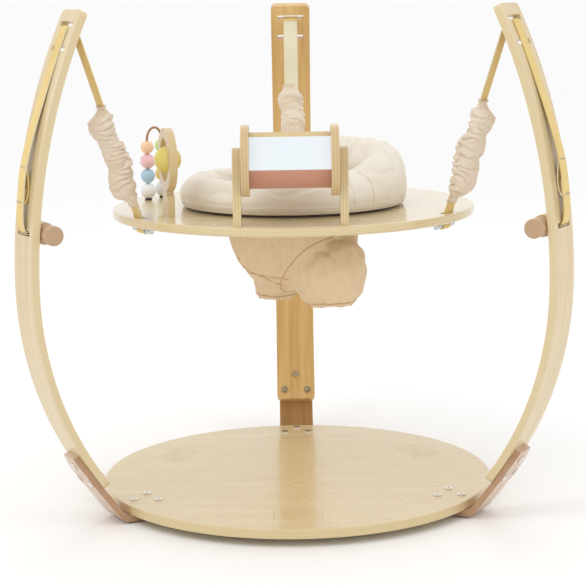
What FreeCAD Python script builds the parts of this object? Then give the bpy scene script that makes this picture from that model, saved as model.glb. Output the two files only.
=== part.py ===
"""Activity jumper: a seat tray hung on three straps between three bent posts over a round base.

Millimetres. Z is up, the floor is Z = 0, +Y points to the rear post and +X to the right.
The origin is the middle of the overall box on the floor, so the jumper's own upright axis
stands at Y = axis_y. Sub-parts that repeat round that axis are drawn once with local X
pointing away from the axis and are then turned to their own bearing.
"""
import FreeCAD
import Part
import Sketcher
import math
import os
import re

os.makedirs("parts", exist_ok=True)

# Driving sizes, in millimetres and degrees. Each is written once and becomes one sheet cell.
SIZES = {
    # How far a cutting tool runs past the face that it opens
    "overrun": 1,
    # Floor frame
    "pad_thickness": 3, "pad_length": 50, "pad_width": 10, "pad_tuck": 2, "pad_overhang": 1,
    "base_radius": 320, "base_thickness": 15, "base_edge_round": 2,
    "plug_length": 76, "plug_width": 50, "plug_depth": 5, "plug_inset": 79, "plug_gap": 0.25,
    "bracket_thickness": 10, "bracket_width": 61, "bracket_bend": 12, "bracket_inset": 74,
    "bracket_overlap": 73, "bracket_roof": 11, "bracket_peak": 1,
    # Posts: two arcs that meet upright at the widest point
    "post_width": 70, "post_thickness": 12, "post_corner": 9,
    "foot_lift": 35, "foot_angle": 37, "lower_bend": 535,
    "top_angle": 26, "upper_bend": 945,
    "slot_length": 46, "slot_height": 8, "top_slot_drop": 23, "slot_pitch": 39,
    "peg_slot_angle": 5.2, "strap_end_drop": 1,
    # Connector bolts and sleeve nuts
    "head_radius": 6.5, "head_height": 2.2, "bolt_radius": 3, "sleeve_radius": 4.2,
    "socket_radius": 2.3, "socket_depth": 1.4,
    "bolt_spread": 42, "post_bolt_low": 18, "post_bolt_high": 50,
    "base_bolt_inset": 20, "base_bolt_row": 32,
    # Tray and its hangers
    "tray_radius": 293, "tray_thickness": 14, "tray_top": 479, "tray_edge_round": 4,
    "tray_hole": 118, "tray_slot_inset": 18, "tray_slot_length": 44, "tray_slot_width": 8,
    "web_width": 25, "web_thickness": 1.8, "web_gap": 0.4, "dowel_radius": 15, "dowel_length": 98,
    "dowel_edge_round": 1.5,
    "bar_radius": 4, "bar_length": 62, "slip": 0.08,
    "sleeve_bottom": 19, "sleeve_top": 174, "sleeve_belly": 22, "sleeve_neck": 16,
    "sleeve_bore": 14.5, "belly_start": 0.22, "belly_end": 0.74,
    "elastic_end": 14, "elastic_width": 20, "elastic_thickness": 3,
    # Seat
    "seat_ring_outer": 172, "seat_ring_inner": 112, "seat_ring_height": 3, "seat_float": 0.3,
    "retainer_outer": 130, "retainer_height": 3,
    "collar_foot": 181, "collar_brow": 172, "collar_height": 76, "collar_tilt": 8,
    "collar_opening": 111, "collar_lift": 4, "collar_outer_round": 34, "collar_inner_round": 20,
    "back_bearing": 45,
    "pouch_top": 110.7, "pouch_hip": 106, "hip_drop": 63, "pouch_waist": 60, "pouch_depth": 128,
    "pouch_wall": 4,
    "leg_radius": 53, "leg_reach": 116, "leg_drop": 62, "leg_dip": 26,
    "tab_stand": 6, "tab_width": 9, "tab_height": 12, "tab_lift": 18, "tab_seam": 2.4,
    # Roller drum
    "drum_x": -4, "drum_y": -254, "drum_axle_height": 96, "upright_width": 40,
    "upright_thickness": 12, "drum_gap": 147, "spacer_radius": 7, "spacer_thickness": 1.3,
    "arc_slack": 0.001, "disc_radius": 53, "disc_thickness": 12, "axle_radius": 4, "board_side": 62,
    "board_thickness": 8, "mirror_thickness": 1.5, "drum_turn": 32,
    # Ball in a ring
    "ring_x": -193, "ring_y": -136, "ring_bearing": 105, "ring_outer": 49, "ring_inner": 33,
    "ring_thickness": 12, "ring_height": 88.5, "stalk_width": 36, "stalk_height": 34,
    "neck_width": 22, "ball_radius": 21, "ball_axle_radius": 2.5, "ball_axle_grip": 9,
    # Bead arch
    "arch_x": -232, "arch_y": 107, "arch_bearing": 57, "arch_span": 40, "arch_height": 122,
    "wire_radius": 2, "grommet_radius": 6, "grommet_height": 2.5, "bead_bore": 3.3,
    "white_left_bead": 13, "blue_bead": 12, "pink_bead": 12.5, "orange_bead": 11,
    "white_right_bead": 13, "yellow_bead": 12, "sand_bead": 12, "green_bead": 11.5,
    # Screws under the toys
    "screw_radius": 2, "screw_head_radius": 4, "screw_head_height": 3, "screw_grip": 22,
}

# Lengths and places that follow from the sizes.
TERMS = {
    "base_under": "pad_thickness + bracket_thickness",
    "base_top": "base_under + base_thickness",
    "tray_under": "tray_top - tray_thickness",
    "bend_run": "bracket_bend * tan(45 - foot_angle / 2)",
    "bend_corner": "base_radius + bend_run",
    "foot_height": "base_top + foot_lift",
    "foot_reach": "bend_corner + (foot_lift + base_thickness) * tan(foot_angle)",
    "widest_height": "foot_height + lower_bend * sin(foot_angle)",
    "widest_reach": "foot_reach + lower_bend * (1 - cos(foot_angle))",
    "lower_centre": "widest_reach - lower_bend",
    "upper_centre": "widest_reach - upper_bend",
    "plug_radius": "base_radius - plug_inset",
    "base_bolt_outer": "base_radius - base_bolt_inset",
    "base_bolt_inner": "base_bolt_outer - base_bolt_row",
    "tray_slot_radius": "tray_radius - tray_slot_inset",
    "axis_y": "(base_radius - widest_reach) / 2",
    "degrees_per_unit_low": "180 / (pi * lower_bend)",
    "degrees_per_unit_up": "180 / (pi * upper_bend)",
    "top_slot_angle": "top_angle - top_slot_drop * degrees_per_unit_up",
    "second_slot_angle": "top_slot_angle - slot_pitch * degrees_per_unit_up",
    "web_turn_angle": "top_slot_angle - (slot_height / 2 - web_gap) * degrees_per_unit_up",
    "peg_loop_radius": "dowel_radius + slip + web_thickness",
    "peg_arm": "upper_bend - post_thickness - web_gap - peg_loop_radius",
    "hang_arm": "upper_bend - post_thickness - web_gap - web_thickness",
    "hang_reach": "upper_centre + hang_arm * cos(web_turn_angle)",
    "hang_height": "widest_height + hang_arm * sin(web_turn_angle)",
    "hang_lean": "atan((hang_reach - tray_slot_radius) / (hang_height - tray_top + tray_thickness / 2))",
    "bar_loop": "bar_radius + web_thickness",
    "bar_height": "tray_under - web_gap - bar_loop",
    "bar_reach": "tray_slot_radius + (bar_height - tray_top + tray_thickness / 2) * tan(hang_lean)",
    "drum_axle_z": "tray_top + drum_axle_height",
    "spigot_radius": "tray_hole - slip",
    "ring_centre_z": "tray_top + ring_height",
    "beads_foot": "tray_top + grommet_height",
}

# Bearings of the three posts, counted from +X towards +Y.
POSTS = {"rear": 90, "front_left": 210, "front_right": 330}

# Bolts at each foot, as a place along the radius or up the post, and a place across.
BASE_BOLTS = [("base_bolt_outer", "0"), ("base_bolt_inner", "bolt_spread / 2"),
              ("base_bolt_inner", "-bolt_spread / 2")]
POST_BOLTS = [("post_bolt_high", "0"), ("post_bolt_low", "bolt_spread / 2"),
              ("post_bolt_low", "-bolt_spread / 2")]

# Screws up through the tray into the drum's uprights and the ball's stalk.
SCREWS = [(f"drum_x {side} (drum_gap + upright_thickness) / 2", f"drum_y {row} upright_width / 4")
          for side in "+-" for row in "+-"]
SCREWS += [(f"ring_x {row} stalk_width / 4 * cos(ring_bearing)",
            f"ring_y {row} stalk_width / 4 * sin(ring_bearing)") for row in "+-"]

# Beads from the foot of each leg upwards.
BEADS = {"left": ("white_left", "blue", "pink", "orange"),
         "right": ("white_right", "yellow", "sand", "green")}

doc = FreeCAD.newDocument("activity_jumper")
sheet = doc.addObject("Spreadsheet::Sheet", "Sizes")
for row, (alias, number) in enumerate(SIZES.items(), start=1):
    sheet.set(f"A{row}", alias)
    sheet.set(f"B{row}", str(number))
    sheet.setAlias(f"B{row}", alias)
doc.recompute()

nodes = []


def cells(text):
    """Open out the named terms of an expression and point each size at its sheet cell."""
    def swap(match):
        word = match.group()
        if word in TERMS:
            return f"({cells(TERMS[word])})"
        return f"Sizes.{word}" if word in SIZES else word
    return re.sub(r"[a-z_][a-z_0-9]*", swap, str(text))


def value(text):
    """Read an expression's present value."""
    return float(sheet.evalExpression(cells(text)))


def bind(thing, **texts):
    """Tie properties of a document object to expressions; a double underscore stands for a dot."""
    for prop, text in texts.items():
        thing.setExpression(prop.replace("__", "."), cells(text))


def place(thing, x=0, y=0, z=0, bearing=0):
    """Stand an object at a point of the jumper's own axes, turned about the vertical."""
    turn = FreeCAD.Rotation(FreeCAD.Vector(0, 0, 1), value(bearing))
    thing.Placement = FreeCAD.Placement(FreeCAD.Vector(0, 0, 0), turn)
    bind(thing, Placement__Base__x=x, Placement__Base__y=f"axis_y + {y}", Placement__Base__z=z)


def node(thing, label, **where):
    """Name a finished sub-part and put it in its place."""
    thing.Label = label
    place(thing, **where)
    nodes.append(thing)
    return thing


# Sketches and PartDesign features

def new_body(name):
    """Start a PartDesign body."""
    return doc.addObject("PartDesign::Body", name + "_body")


def sketch_on(body, role, offset=0, lean=0):
    """Start a sketch on one of the body's own planes, raised by offset and leaned about Y."""
    plane = next(item for item in body.Origin.OriginFeatures if item.Role == role)
    sketch = body.newObject("Sketcher::SketchObject", "outline")
    sketch.AttachmentSupport = [(plane, "")]
    sketch.MapMode = "FlatFace"
    tip = FreeCAD.Rotation(FreeCAD.Vector(0, 1, 0), value(lean))
    sketch.AttachmentOffset = FreeCAD.Placement(FreeCAD.Vector(0, 0, 0), tip)
    bind(sketch, AttachmentOffset__Base__z=offset)
    return sketch


def pin(sketch, edge, end, x, y):
    """Hold one point of a sketch at a place measured from the sketch's origin."""
    for kind, text in (("DistanceX", x), ("DistanceY", y)):
        rule = Sketcher.Constraint(kind, -1, 1, edge, end, value(text))
        bind(sketch, **{f"Constraints[{sketch.addConstraint(rule)}]": text})


def circle(sketch, x, y, radius):
    """Draw a circle held at a place."""
    middle = FreeCAD.Vector(value(x), value(y), 0)
    edge = sketch.addGeometry(Part.Circle(middle, FreeCAD.Vector(0, 0, 1), value(radius)))
    pin(sketch, edge, 3, x, y)
    rule = Sketcher.Constraint("Radius", edge, value(radius))
    bind(sketch, **{f"Constraints[{sketch.addConstraint(rule)}]": radius})


def outline(sketch, corners, bends=None):
    """Draw a closed outline through corners.

    bends maps the number of a side to (radius, turn): that side is an arc, and turn is 1
    where it curves to the left on the way round and -1 where it curves to the right.
    """
    bends = bends or {}
    points = [FreeCAD.Vector(value(x), value(y), 0) for x, y in corners]
    ends = []
    for side, start in enumerate(points):
        stop = points[(side + 1) % len(points)]
        if side not in bends:
            ends.append((sketch.addGeometry(Part.LineSegment(start, stop)), 1, 2))
            continue
        radius, turn = bends[side]
        span = stop - start
        rise = math.sqrt(value(radius) ** 2 - span.Length ** 2 / 4)
        left = FreeCAD.Vector(-span.y, span.x, 0).normalize()
        middle = start + span / 2 + left * rise * turn
        first, last = (start, stop) if turn > 0 else (stop, start)
        angles = [math.atan2(tip.y - middle.y, tip.x - middle.x) for tip in (first, last)]
        if angles[1] < angles[0]:
            angles[1] += 2 * math.pi
        ring = Part.Circle(middle, FreeCAD.Vector(0, 0, 1), value(radius))
        edge = sketch.addGeometry(Part.ArcOfCircle(ring, *angles))
        ends.append((edge, 1, 2) if turn > 0 else (edge, 2, 1))
    for side, (edge, start, stop) in enumerate(ends):
        after = ends[(side + 1) % len(ends)]
        sketch.addConstraint(Sketcher.Constraint("Coincident", edge, stop, after[0], after[1]))
        pin(sketch, edge, start, *corners[side])
        if side in bends:
            radius = bends[side][0]
            rule = Sketcher.Constraint("Radius", edge, value(radius))
            bind(sketch, **{f"Constraints[{sketch.addConstraint(rule)}]": radius})


def block(sketch, x, y, width, height):
    """Draw a rectangle about a middle point."""
    xs = [f"{x} - ({width}) / 2", f"{x} + ({width}) / 2"]
    ys = [f"{y} - ({height}) / 2", f"{y} + ({height}) / 2"]
    outline(sketch, [(xs[0], ys[0]), (xs[1], ys[0]), (xs[1], ys[1]), (xs[0], ys[1])])


def feature(body, kind, sketch, name, **sizes):
    """Add a sketch-based feature to a body and tie its sizes."""
    added = body.newObject("PartDesign::" + kind, name)
    added.Profile = sketch
    bind(added, **sizes)
    return added


def pad(body, sketch, length, both_ways=False):
    """Raise a sketch, one way or about its plane."""
    added = feature(body, "Pad", sketch, "pad", Length=length)
    if both_ways:
        added.SideType = "Symmetric"
    return added


def pocket(body, sketch, length, both_ways=False, reverse=False):
    """Cut a sketch out of the body, and make sure that it did cut."""
    doc.recompute()
    before = body.Shape.Volume
    added = feature(body, "Pocket", sketch, "pocket", Length=length)
    added.Reversed = reverse
    if both_ways:
        added.SideType = "Symmetric"
    doc.recompute()
    if body.Shape.Volume >= before:
        raise ValueError(f"pocket in {body.Name} cuts nothing")
    return added


def revolve(body, sketch, axis="V_Axis"):
    """Turn a sketch about one of its own axes."""
    added = body.newObject("PartDesign::Revolution", "turning")
    added.Profile = sketch
    added.ReferenceAxis = (sketch, [axis])
    added.Angle = 360
    return added


def three_times(body, original):
    """Repeat a feature three times round the upright axis."""
    pattern = body.newObject("PartDesign::PolarPattern", "round_the_axis")
    pattern.Originals = [original]
    axis = next(item for item in body.Origin.OriginFeatures if item.Role == "Z_Axis")
    pattern.Axis = (axis, [""])
    pattern.Angle = 360
    pattern.Occurrences = 3
    body.Tip = pattern
    return pattern


def soften(body, kind, wanted, **sizes):
    """Add a Fillet or Chamfer to the edges that the wanted test picks."""
    doc.recompute()
    base = body.Tip
    names = [f"Edge{n}" for n, edge in enumerate(base.Shape.Edges, start=1) if wanted(edge)]
    added = body.newObject("PartDesign::" + kind, kind.lower())
    added.Base = (base, names)
    if "Size2" in sizes:
        added.ChamferType = "Two distances"
    bind(added, **sizes)
    return added


def is_ring(edge, radius=None, height=None):
    """Tell whether an edge is a full circle of that radius at that height."""
    if not isinstance(edge.Curve, Part.Circle) or len(edge.Vertexes) > 1:
        return False
    fits = radius is None or abs(edge.Curve.Radius - value(radius)) < 0.01
    return fits and (height is None or abs(edge.Curve.Center.z - value(height)) < 0.01)


# Part primitives and booleans

def solid(kind, name, x=0, y=0, z=0, turn=None, **sizes):
    """Make a Part primitive; turn is (axis, angle) about its own corner or centre."""
    made = doc.addObject("Part::" + kind, name)
    bind(made, **sizes)
    if turn:
        axis, angle = turn
        spin = FreeCAD.Rotation(FreeCAD.Vector(*axis), value(angle))
        made.Placement = FreeCAD.Placement(FreeCAD.Vector(0, 0, 0), spin)
    bind(made, Placement__Base__x=x, Placement__Base__y=y, Placement__Base__z=z)
    return made


def fuse(name, *pieces):
    """Join pieces into one."""
    joined = doc.addObject("Part::MultiFuse", name)
    joined.Shapes = list(pieces)
    return joined


def cut(name, base, tool):
    """Take a tool away from a base."""
    left = doc.addObject("Part::Cut", name)
    left.Base, left.Tool = base, tool
    return left


def group(name, pieces):
    """Hold separate solids as one sub-part."""
    held = doc.addObject("Part::Compound", name)
    held.Links = pieces
    return held


def turned_group(name, maker):
    """Make the same pieces at each post and hold them as one group."""
    sets = []
    for side, bearing in POSTS.items():
        one = group(f"{name}_{side}", maker(f"{name}_{side}"))
        one.Placement.Rotation = FreeCAD.Rotation(FreeCAD.Vector(0, 0, 1), bearing)
        sets.append(one)
    return group(name, sets)


# Floor frame

def make_base():
    """Round base board with its three inlay pockets and the bracket bolt holes."""
    body = new_body("base")
    disc = sketch_on(body, "XY_Plane", "base_under")
    circle(disc, "0", "0", "base_radius")
    pad(body, disc, "base_thickness")
    inlay = sketch_on(body, "XY_Plane", "base_top")
    block(inlay, "-plug_radius", "0", "plug_width", "plug_length")
    three_times(body, pocket(body, inlay, "plug_depth"))
    holes = sketch_on(body, "XY_Plane", "base_top")
    for x, y in BASE_BOLTS:
        circle(holes, x, y, "sleeve_radius")
    three_times(body, pocket(body, holes, "base_thickness"))
    soften(body, "Fillet", lambda edge: is_ring(edge, "base_radius"), Radius="base_edge_round")
    node(body, "base_disc", bearing=90)

    plugs = new_body("plugs")
    inlay = sketch_on(plugs, "XY_Plane", "base_top - plug_depth")
    block(inlay, "-plug_radius", "0", "plug_width - 2 * plug_gap", "plug_length - 2 * plug_gap")
    three_times(plugs, pad(plugs, inlay, "plug_depth"))
    plugs.AllowCompound = True
    node(plugs, "base_inlay_plugs", bearing=90)


def bolt_angle(along):
    """Angle below the widest point of a bolt that is so far up the lower bend from the foot."""
    return f"(foot_angle - {along} * degrees_per_unit_low)"


def low_point(arm, angle):
    """Point of the lower bend at an arm's length from the bend's centre."""
    return f"lower_centre + ({arm}) * cos({angle})", f"widest_height - ({arm}) * sin({angle})"


def high_point(arm, angle):
    """Point of the upper bend at an arm's length from the bend's centre."""
    return f"upper_centre + ({arm}) * cos({angle})", f"widest_height + ({arm}) * sin({angle})"


def drill_post_bolts(name, inner, outer):
    """Cutters for the three bolts that join a post to its bracket."""
    drills = []
    for n, (along, y) in enumerate(POST_BOLTS):
        angle = bolt_angle(along)
        x, z = low_point(inner, angle)
        drills.append(solid("Cylinder", f"{name}_drill_{n}", x, y, z, ((0, 1, 0), f"90 + {angle}"),
                            Radius="sleeve_radius", Height=f"{outer} - ({inner})"))
    return fuse(f"{name}_drills", *drills)


def make_bracket(side, bearing):
    """Bent plywood bracket: a level leg under the base and a leg up the back of the post."""
    body = new_body(f"bracket_{side}")
    profile = sketch_on(body, "XZ_Plane")
    roof = "(foot_angle - (bracket_overlap - bracket_roof / 2) * degrees_per_unit_low)"
    outer_arm = "lower_bend + bracket_thickness"
    bend_end = ("bend_corner + bend_run * sin(foot_angle)", "base_under + bend_run * cos(foot_angle)")
    bend_back = (f"{bend_end[0]} + bracket_thickness * cos(foot_angle)",
                 f"{bend_end[1]} - bracket_thickness * sin(foot_angle)")
    outline(profile,
            [("base_radius - bracket_inset", "base_under"), ("base_radius", "base_under"), bend_end,
             low_point("lower_bend", "foot_angle"), low_point("lower_bend", roof),
             low_point(outer_arm, roof), low_point(outer_arm, "foot_angle"), bend_back,
             ("base_radius", "pad_thickness"), ("base_radius - bracket_inset", "pad_thickness")],
            {1: ("bracket_bend", 1), 3: ("lower_bend", 1), 5: (outer_arm, -1),
             7: ("bracket_bend + bracket_thickness", -1)})
    pad(body, profile, "bracket_width", both_ways=True)
    level = sketch_on(body, "XY_Plane", "base_under")
    for x, y in BASE_BOLTS:
        circle(level, x, y, "sleeve_radius")
    pocket(body, level, "bracket_thickness")
    tip = value(low_point("lower_bend", roof)[1])
    half = value("bracket_width / 2")

    def is_top_corner(edge):
        """Tell whether an edge is one of the two upper corners of the tall leg."""
        ends = [vertex.Point for vertex in edge.Vertexes]
        across = all(abs(abs(point.y) - half) < 0.01 for point in ends)
        return len(ends) == 2 and across and abs(edge.CenterOfMass.z - tip) < 4 \
            and abs(edge.Length - value("bracket_thickness")) < 0.01

    soften(body, "Chamfer", is_top_corner, Size="(bracket_width - bracket_peak) / 2",
           Size2="bracket_roof")
    drills = drill_post_bolts(f"bracket_{side}", "lower_bend - overrun",
                              f"{outer_arm} + overrun")
    node(cut(f"bracket_{side}_cut", body, drills), f"bracket_{side}", bearing=bearing)


def make_post(side, bearing):
    """Curved laminated post with two hanger slots near its top and a peg slot lower down."""
    body = new_body(f"post_{side}")
    profile = sketch_on(body, "XZ_Plane")
    inner_low, inner_high = "lower_bend - post_thickness", "upper_bend - post_thickness"
    outline(profile,
            [low_point("lower_bend", "foot_angle"), ("widest_reach", "widest_height"),
             high_point("upper_bend", "top_angle"), high_point(inner_high, "top_angle"),
             ("widest_reach - post_thickness", "widest_height"), low_point(inner_low, "foot_angle")],
            {0: ("lower_bend", 1), 1: ("upper_bend", 1), 3: (inner_high, -1), 4: (inner_low, -1)})
    pad(body, profile, "post_width", both_ways=True)
    thick, half = value("post_thickness"), value("post_width / 2")

    def is_end_corner(edge):
        """Tell whether an edge is a corner of the post's top or foot."""
        return abs(edge.Length - thick) < 0.01 and abs(abs(edge.CenterOfMass.y) - half) < 0.01

    soften(body, "Fillet", is_end_corner, Radius="post_corner")
    tools = [drill_post_bolts(f"post_{side}", f"{inner_low} - overrun",
                              "lower_bend + overrun")]
    for n, angle in enumerate(("top_slot_angle", "second_slot_angle", "peg_slot_angle")):
        x, z = high_point("upper_bend - 2 * post_thickness", angle)
        slot = solid("Box", f"post_{side}_slot_{n}", f"{x} + slot_height / 2 * sin({angle})",
                     "-slot_length / 2", f"{z} - slot_height / 2 * cos({angle})",
                     ((0, 1, 0), f"-({angle})"),
                     Length="3 * post_thickness", Width="slot_length", Height="slot_height")
        tools.append(slot)
    node(cut(f"post_{side}_cut", body, fuse(f"post_{side}_tools", *tools)), f"post_{side}",
         bearing=bearing)


def bolt(name, x, y, z, turn, grip):
    """Connector bolt: a flanged head with a hexagon socket on a plain shank."""
    head = solid("Cylinder", name + "_head", Radius="head_radius", Height="head_height",
                 z="-head_height")
    shank = solid("Cylinder", name + "_shank", Radius="bolt_radius", Height=grip)
    key = solid("Prism", name + "_key", Circumradius="socket_radius", Height="socket_depth",
                z="-head_height")
    key.Polygon = 6
    made = cut(name, fuse(name + "_blank", head, shank), key)
    return stand(made, x, y, z, turn)


def sleeve_nut(name, x, y, z, turn, grip):
    """Sleeve nut: a flanged head with a bore that takes the bolt's shank."""
    head = solid("Cylinder", name + "_head", Radius="head_radius", Height="head_height",
                 z="-head_height")
    barrel = solid("Cylinder", name + "_barrel", Radius="sleeve_radius", Height=grip)
    bore = solid("Cylinder", name + "_bore", Radius="bolt_radius", Height=grip)
    return stand(cut(name, fuse(name + "_blank", head, barrel), bore), x, y, z, turn)


def stand(made, x, y, z, turn):
    """Turn a finished piece about Y and move it to its place."""
    made.Placement = FreeCAD.Placement(FreeCAD.Vector(0, 0, 0),
                                       FreeCAD.Rotation(FreeCAD.Vector(0, 1, 0), value(turn)))
    bind(made, Placement__Base__x=x, Placement__Base__y=y, Placement__Base__z=z)
    return made


def make_fasteners():
    """Bolts and sleeve nuts through base and bracket, and through post and bracket."""
    post_grip = "(post_thickness + bracket_thickness)"
    base_grip = "(base_thickness + bracket_thickness)"

    def post_row(maker, arm, flip, name):
        """Three fasteners normal to the post, on one of its two sides."""
        row = []
        for n, (along, y) in enumerate(POST_BOLTS):
            angle = bolt_angle(along)
            x, z = low_point(arm, angle)
            row.append(maker(f"{name}_{n}", x, y, z, f"90 + {angle} + {flip}", post_grip))
        return row

    def base_row(maker, z, turn, name):
        """Three upright fasteners, on one side of the base."""
        return [maker(f"{name}_{n}", x, y, z, turn, base_grip) for n, (x, y) in enumerate(BASE_BOLTS)]

    node(turned_group("post_bolts", lambda name: post_row(
        bolt, "lower_bend - post_thickness", "0", name)), "post_bolts")
    node(turned_group("post_nuts", lambda name: post_row(
        sleeve_nut, "lower_bend + bracket_thickness", "180", name)), "post_sleeve_nuts")
    node(turned_group("base_bolts", lambda name: base_row(
        bolt, "base_top", "180", name)), "base_bolts")
    node(turned_group("base_nuts", lambda name: base_row(
        sleeve_nut, "pad_thickness", "0", name)), "base_sleeve_nuts")


def make_pads():
    """Two felt strips under the level leg of each bracket."""
    def strips(name):
        """The inner and the outer strip at one bracket."""
        return [solid("Box", f"{name}_{n}", x, "-pad_length / 2", "0", Length="pad_width",
                      Width="pad_length", Height="pad_thickness")
                for n, x in enumerate(("base_radius - bracket_inset + pad_tuck",
                                       "base_radius - pad_width + pad_overhang"))]
    node(turned_group("pads", strips), "foot_pads")


# Hangers

def make_peg(side, bearing):
    """Wooden peg that holds the strap's end loop against the inner face of the post."""
    body = new_body(f"peg_{side}")
    face = sketch_on(body, "XZ_Plane")
    circle(face, *high_point("peg_arm", "peg_slot_angle"), "dowel_radius")
    pad(body, face, "dowel_length", both_ways=True)
    soften(body, "Fillet", lambda edge: isinstance(edge.Curve, Part.Circle),
           Radius="dowel_edge_round")
    node(body, f"toggle_dowel_{side}", bearing=bearing)


def sector(name, arm, low, high, width):
    """Sector of a cylinder whose axis lies along local Y, from the low to the high angle."""
    made = doc.addObject("Part::Cylinder", name)
    bind(made, Radius=arm, Height=width, Angle=f"({high}) - ({low})")
    lay = FreeCAD.Rotation(FreeCAD.Vector(1, 0, 0), 90)
    lift = FreeCAD.Rotation(FreeCAD.Vector(0, 1, 0), -value(low))
    made.Placement = FreeCAD.Placement(FreeCAD.Vector(0, 0, 0), lift * lay)
    bind(made, Placement__Base__x="upper_centre", Placement__Base__y=f"({width}) / 2",
         Placement__Base__z="widest_height")
    return made


def radial_box(name, inner, outer, angle, thickness):
    """Flat strip that runs through a slot, from an inner to an outer arm's length."""
    x, z = high_point(inner, angle)
    return solid("Box", name, x, "-web_width / 2", z, ((0, 1, 0), f"-({angle})"),
                 Length=f"({outer}) - ({inner})", Width="web_width", Height=thickness)


def make_adjusting_strap(side, bearing):
    """Webbing from the peg, through the peg slot, up the back of the post and over its top slot."""
    name = f"webbing_{side}"
    inner, outer = "upper_bend + web_gap", "upper_bend + web_gap + web_thickness"
    run = cut(name + "_run", sector(name + "_back", outer, "peg_slot_angle", "web_turn_angle",
                                    "web_width"),
              sector(name + "_face", inner, "peg_slot_angle - overrun",
                     "web_turn_angle + overrun",
                     "(web_width + 2 * overrun)"))
    over = radial_box(name + "_over", "hang_arm", outer, "web_turn_angle", "web_thickness")
    through = radial_box(name + "_through", "peg_arm + dowel_radius + slip + web_thickness / 2",
                         outer, "peg_slot_angle", "web_thickness")
    x, z = high_point("peg_arm", "peg_slot_angle")
    loop = cut(name + "_loop",
               solid("Cylinder", name + "_loop_out", x, "web_width / 2", z, ((1, 0, 0), "90"),
                     Radius="peg_loop_radius", Height="web_width"),
               solid("Cylinder", name + "_loop_in", x, "web_width / 2 + overrun", z, ((1, 0, 0), "90"),
                     Radius="dowel_radius + slip", Height="web_width + 2 * overrun"))
    node(fuse(name, run, over, through, loop), f"adjusting_strap_{side}", bearing=bearing)


def hanger_strip(name, low, high, width, thickness):
    """Flat strip along the line from the tray slot to the top slot, between two heights."""
    x = f"tray_slot_radius + ({low} - tray_top + tray_thickness / 2) * tan(hang_lean)"
    return solid("Box", name, f"{x} - {thickness} / 2", f"-{width} / 2", low,
                 ((0, 1, 0), "hang_lean"), Length=thickness, Width=width,
                 Height=f"({high} - ({low})) / cos(hang_lean)")


def make_hangers():
    """Upper webbing, elastic core, gathered sleeve and lower webbing of each hanger."""
    elastic_low = "tray_top + sleeve_bottom + elastic_end"
    elastic_high = "tray_top + sleeve_top - elastic_end"
    for side, bearing in POSTS.items():
        strip = hanger_strip(f"upper_{side}", f"({elastic_high})",
                             "(hang_height - strap_end_drop)", "web_width", "web_thickness")
        node(group(f"upper_{side}_held", [strip]), f"hanger_strap_{side}", bearing=bearing)
        body = new_body(f"sleeve_{side}")
        half = sketch_on(body, "XZ_Plane")
        long = "(sleeve_top - sleeve_bottom) / cos(hang_lean)"
        outline(half, [("sleeve_bore", "0"), ("sleeve_neck", "0"), ("sleeve_belly", f"belly_start * {long}"),
                       ("sleeve_belly", f"belly_end * {long}"), ("sleeve_neck", long),
                       ("sleeve_bore", long)])
        revolve(body, half)
        x = "tray_slot_radius + (sleeve_bottom + tray_thickness / 2) * tan(hang_lean)"
        one = group(f"sleeve_{side}_leaned", [stand(body, x, "0", "tray_top + sleeve_bottom",
                                                    "hang_lean")])
        node(one, f"gathered_sleeve_{side}", bearing=bearing)
    node(turned_group("elastic", lambda name: [hanger_strip(
        name, f"({elastic_low})", f"({elastic_high})", "elastic_width", "elastic_thickness")]),
        "elastic_cores")
    node(turned_group("lower", lambda name: [lower_end(name, f"({elastic_low})")]),
         "tray_strap_ends")
    node(turned_group("bars", lambda name: [solid(
        "Cylinder", name, "bar_reach", "bar_length / 2", "bar_height", ((1, 0, 0), "90"),
        Radius="bar_radius", Height="bar_length")]), "strap_stop_bars")


def lower_end(name, high):
    """Webbing through the tray slot with a sewn loop round the stop bar under the tray."""
    strip = hanger_strip(name + "_strip", "(bar_height + bar_radius + web_thickness / 2)", high,
                         "web_width", "web_thickness")
    ring = cut(name + "_ring",
               solid("Cylinder", name + "_ring_out", "bar_reach", "web_width / 2", "bar_height",
                     ((1, 0, 0), "90"), Radius="bar_loop", Height="web_width"),
               solid("Cylinder", name + "_ring_in", "bar_reach", "web_width / 2 + overrun", "bar_height",
                     ((1, 0, 0), "90"), Radius="bar_radius", Height="web_width + 2 * overrun"))
    return fuse(name + "_end", strip, ring)


# Tray

def make_tray():
    """Round tray board with the seat hole, three hanger slots and holes for the toy screws."""
    body = new_body("tray")
    disc = sketch_on(body, "XY_Plane", "tray_under")
    circle(disc, "0", "0", "tray_radius")
    circle(disc, "0", "0", "tray_hole")
    pad(body, disc, "tray_thickness")
    slots = sketch_on(body, "XY_Plane", "tray_top")
    block(slots, "tray_slot_radius", "0", "tray_slot_width", "tray_slot_length")
    three_times(body, pocket(body, slots, "tray_thickness"))
    soften(body, "Fillet", lambda edge: is_ring(edge, "tray_radius"), Radius="tray_edge_round")
    board = group("tray_board", [body])
    board.Placement.Rotation = FreeCAD.Rotation(FreeCAD.Vector(0, 0, 1), 90)
    drills = fuse("tray_drills", *[screw_shape(f"tray_drill_{n}", *spot)
                                   for n, spot in enumerate(SCREWS)], *wire_holes("tray"))
    node(cut("tray_cut", board, drills), "tray_disc")
    node(group("screws", [screw_shape(f"screw_{n}", *spot) for n, spot in enumerate(SCREWS)]),
         "toy_screws")


def screw_shape(name, x, y):
    """Countersunk wood screw from under the tray."""
    head = solid("Cone", name + "_head", x, y, "tray_under", Radius1="screw_head_radius",
                 Radius2="screw_radius", Height="screw_head_height")
    shank = solid("Cylinder", name + "_shank", x, y, "tray_under", Radius="screw_radius",
                  Height="tray_thickness + screw_grip")
    return fuse(name, head, shank)


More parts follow.
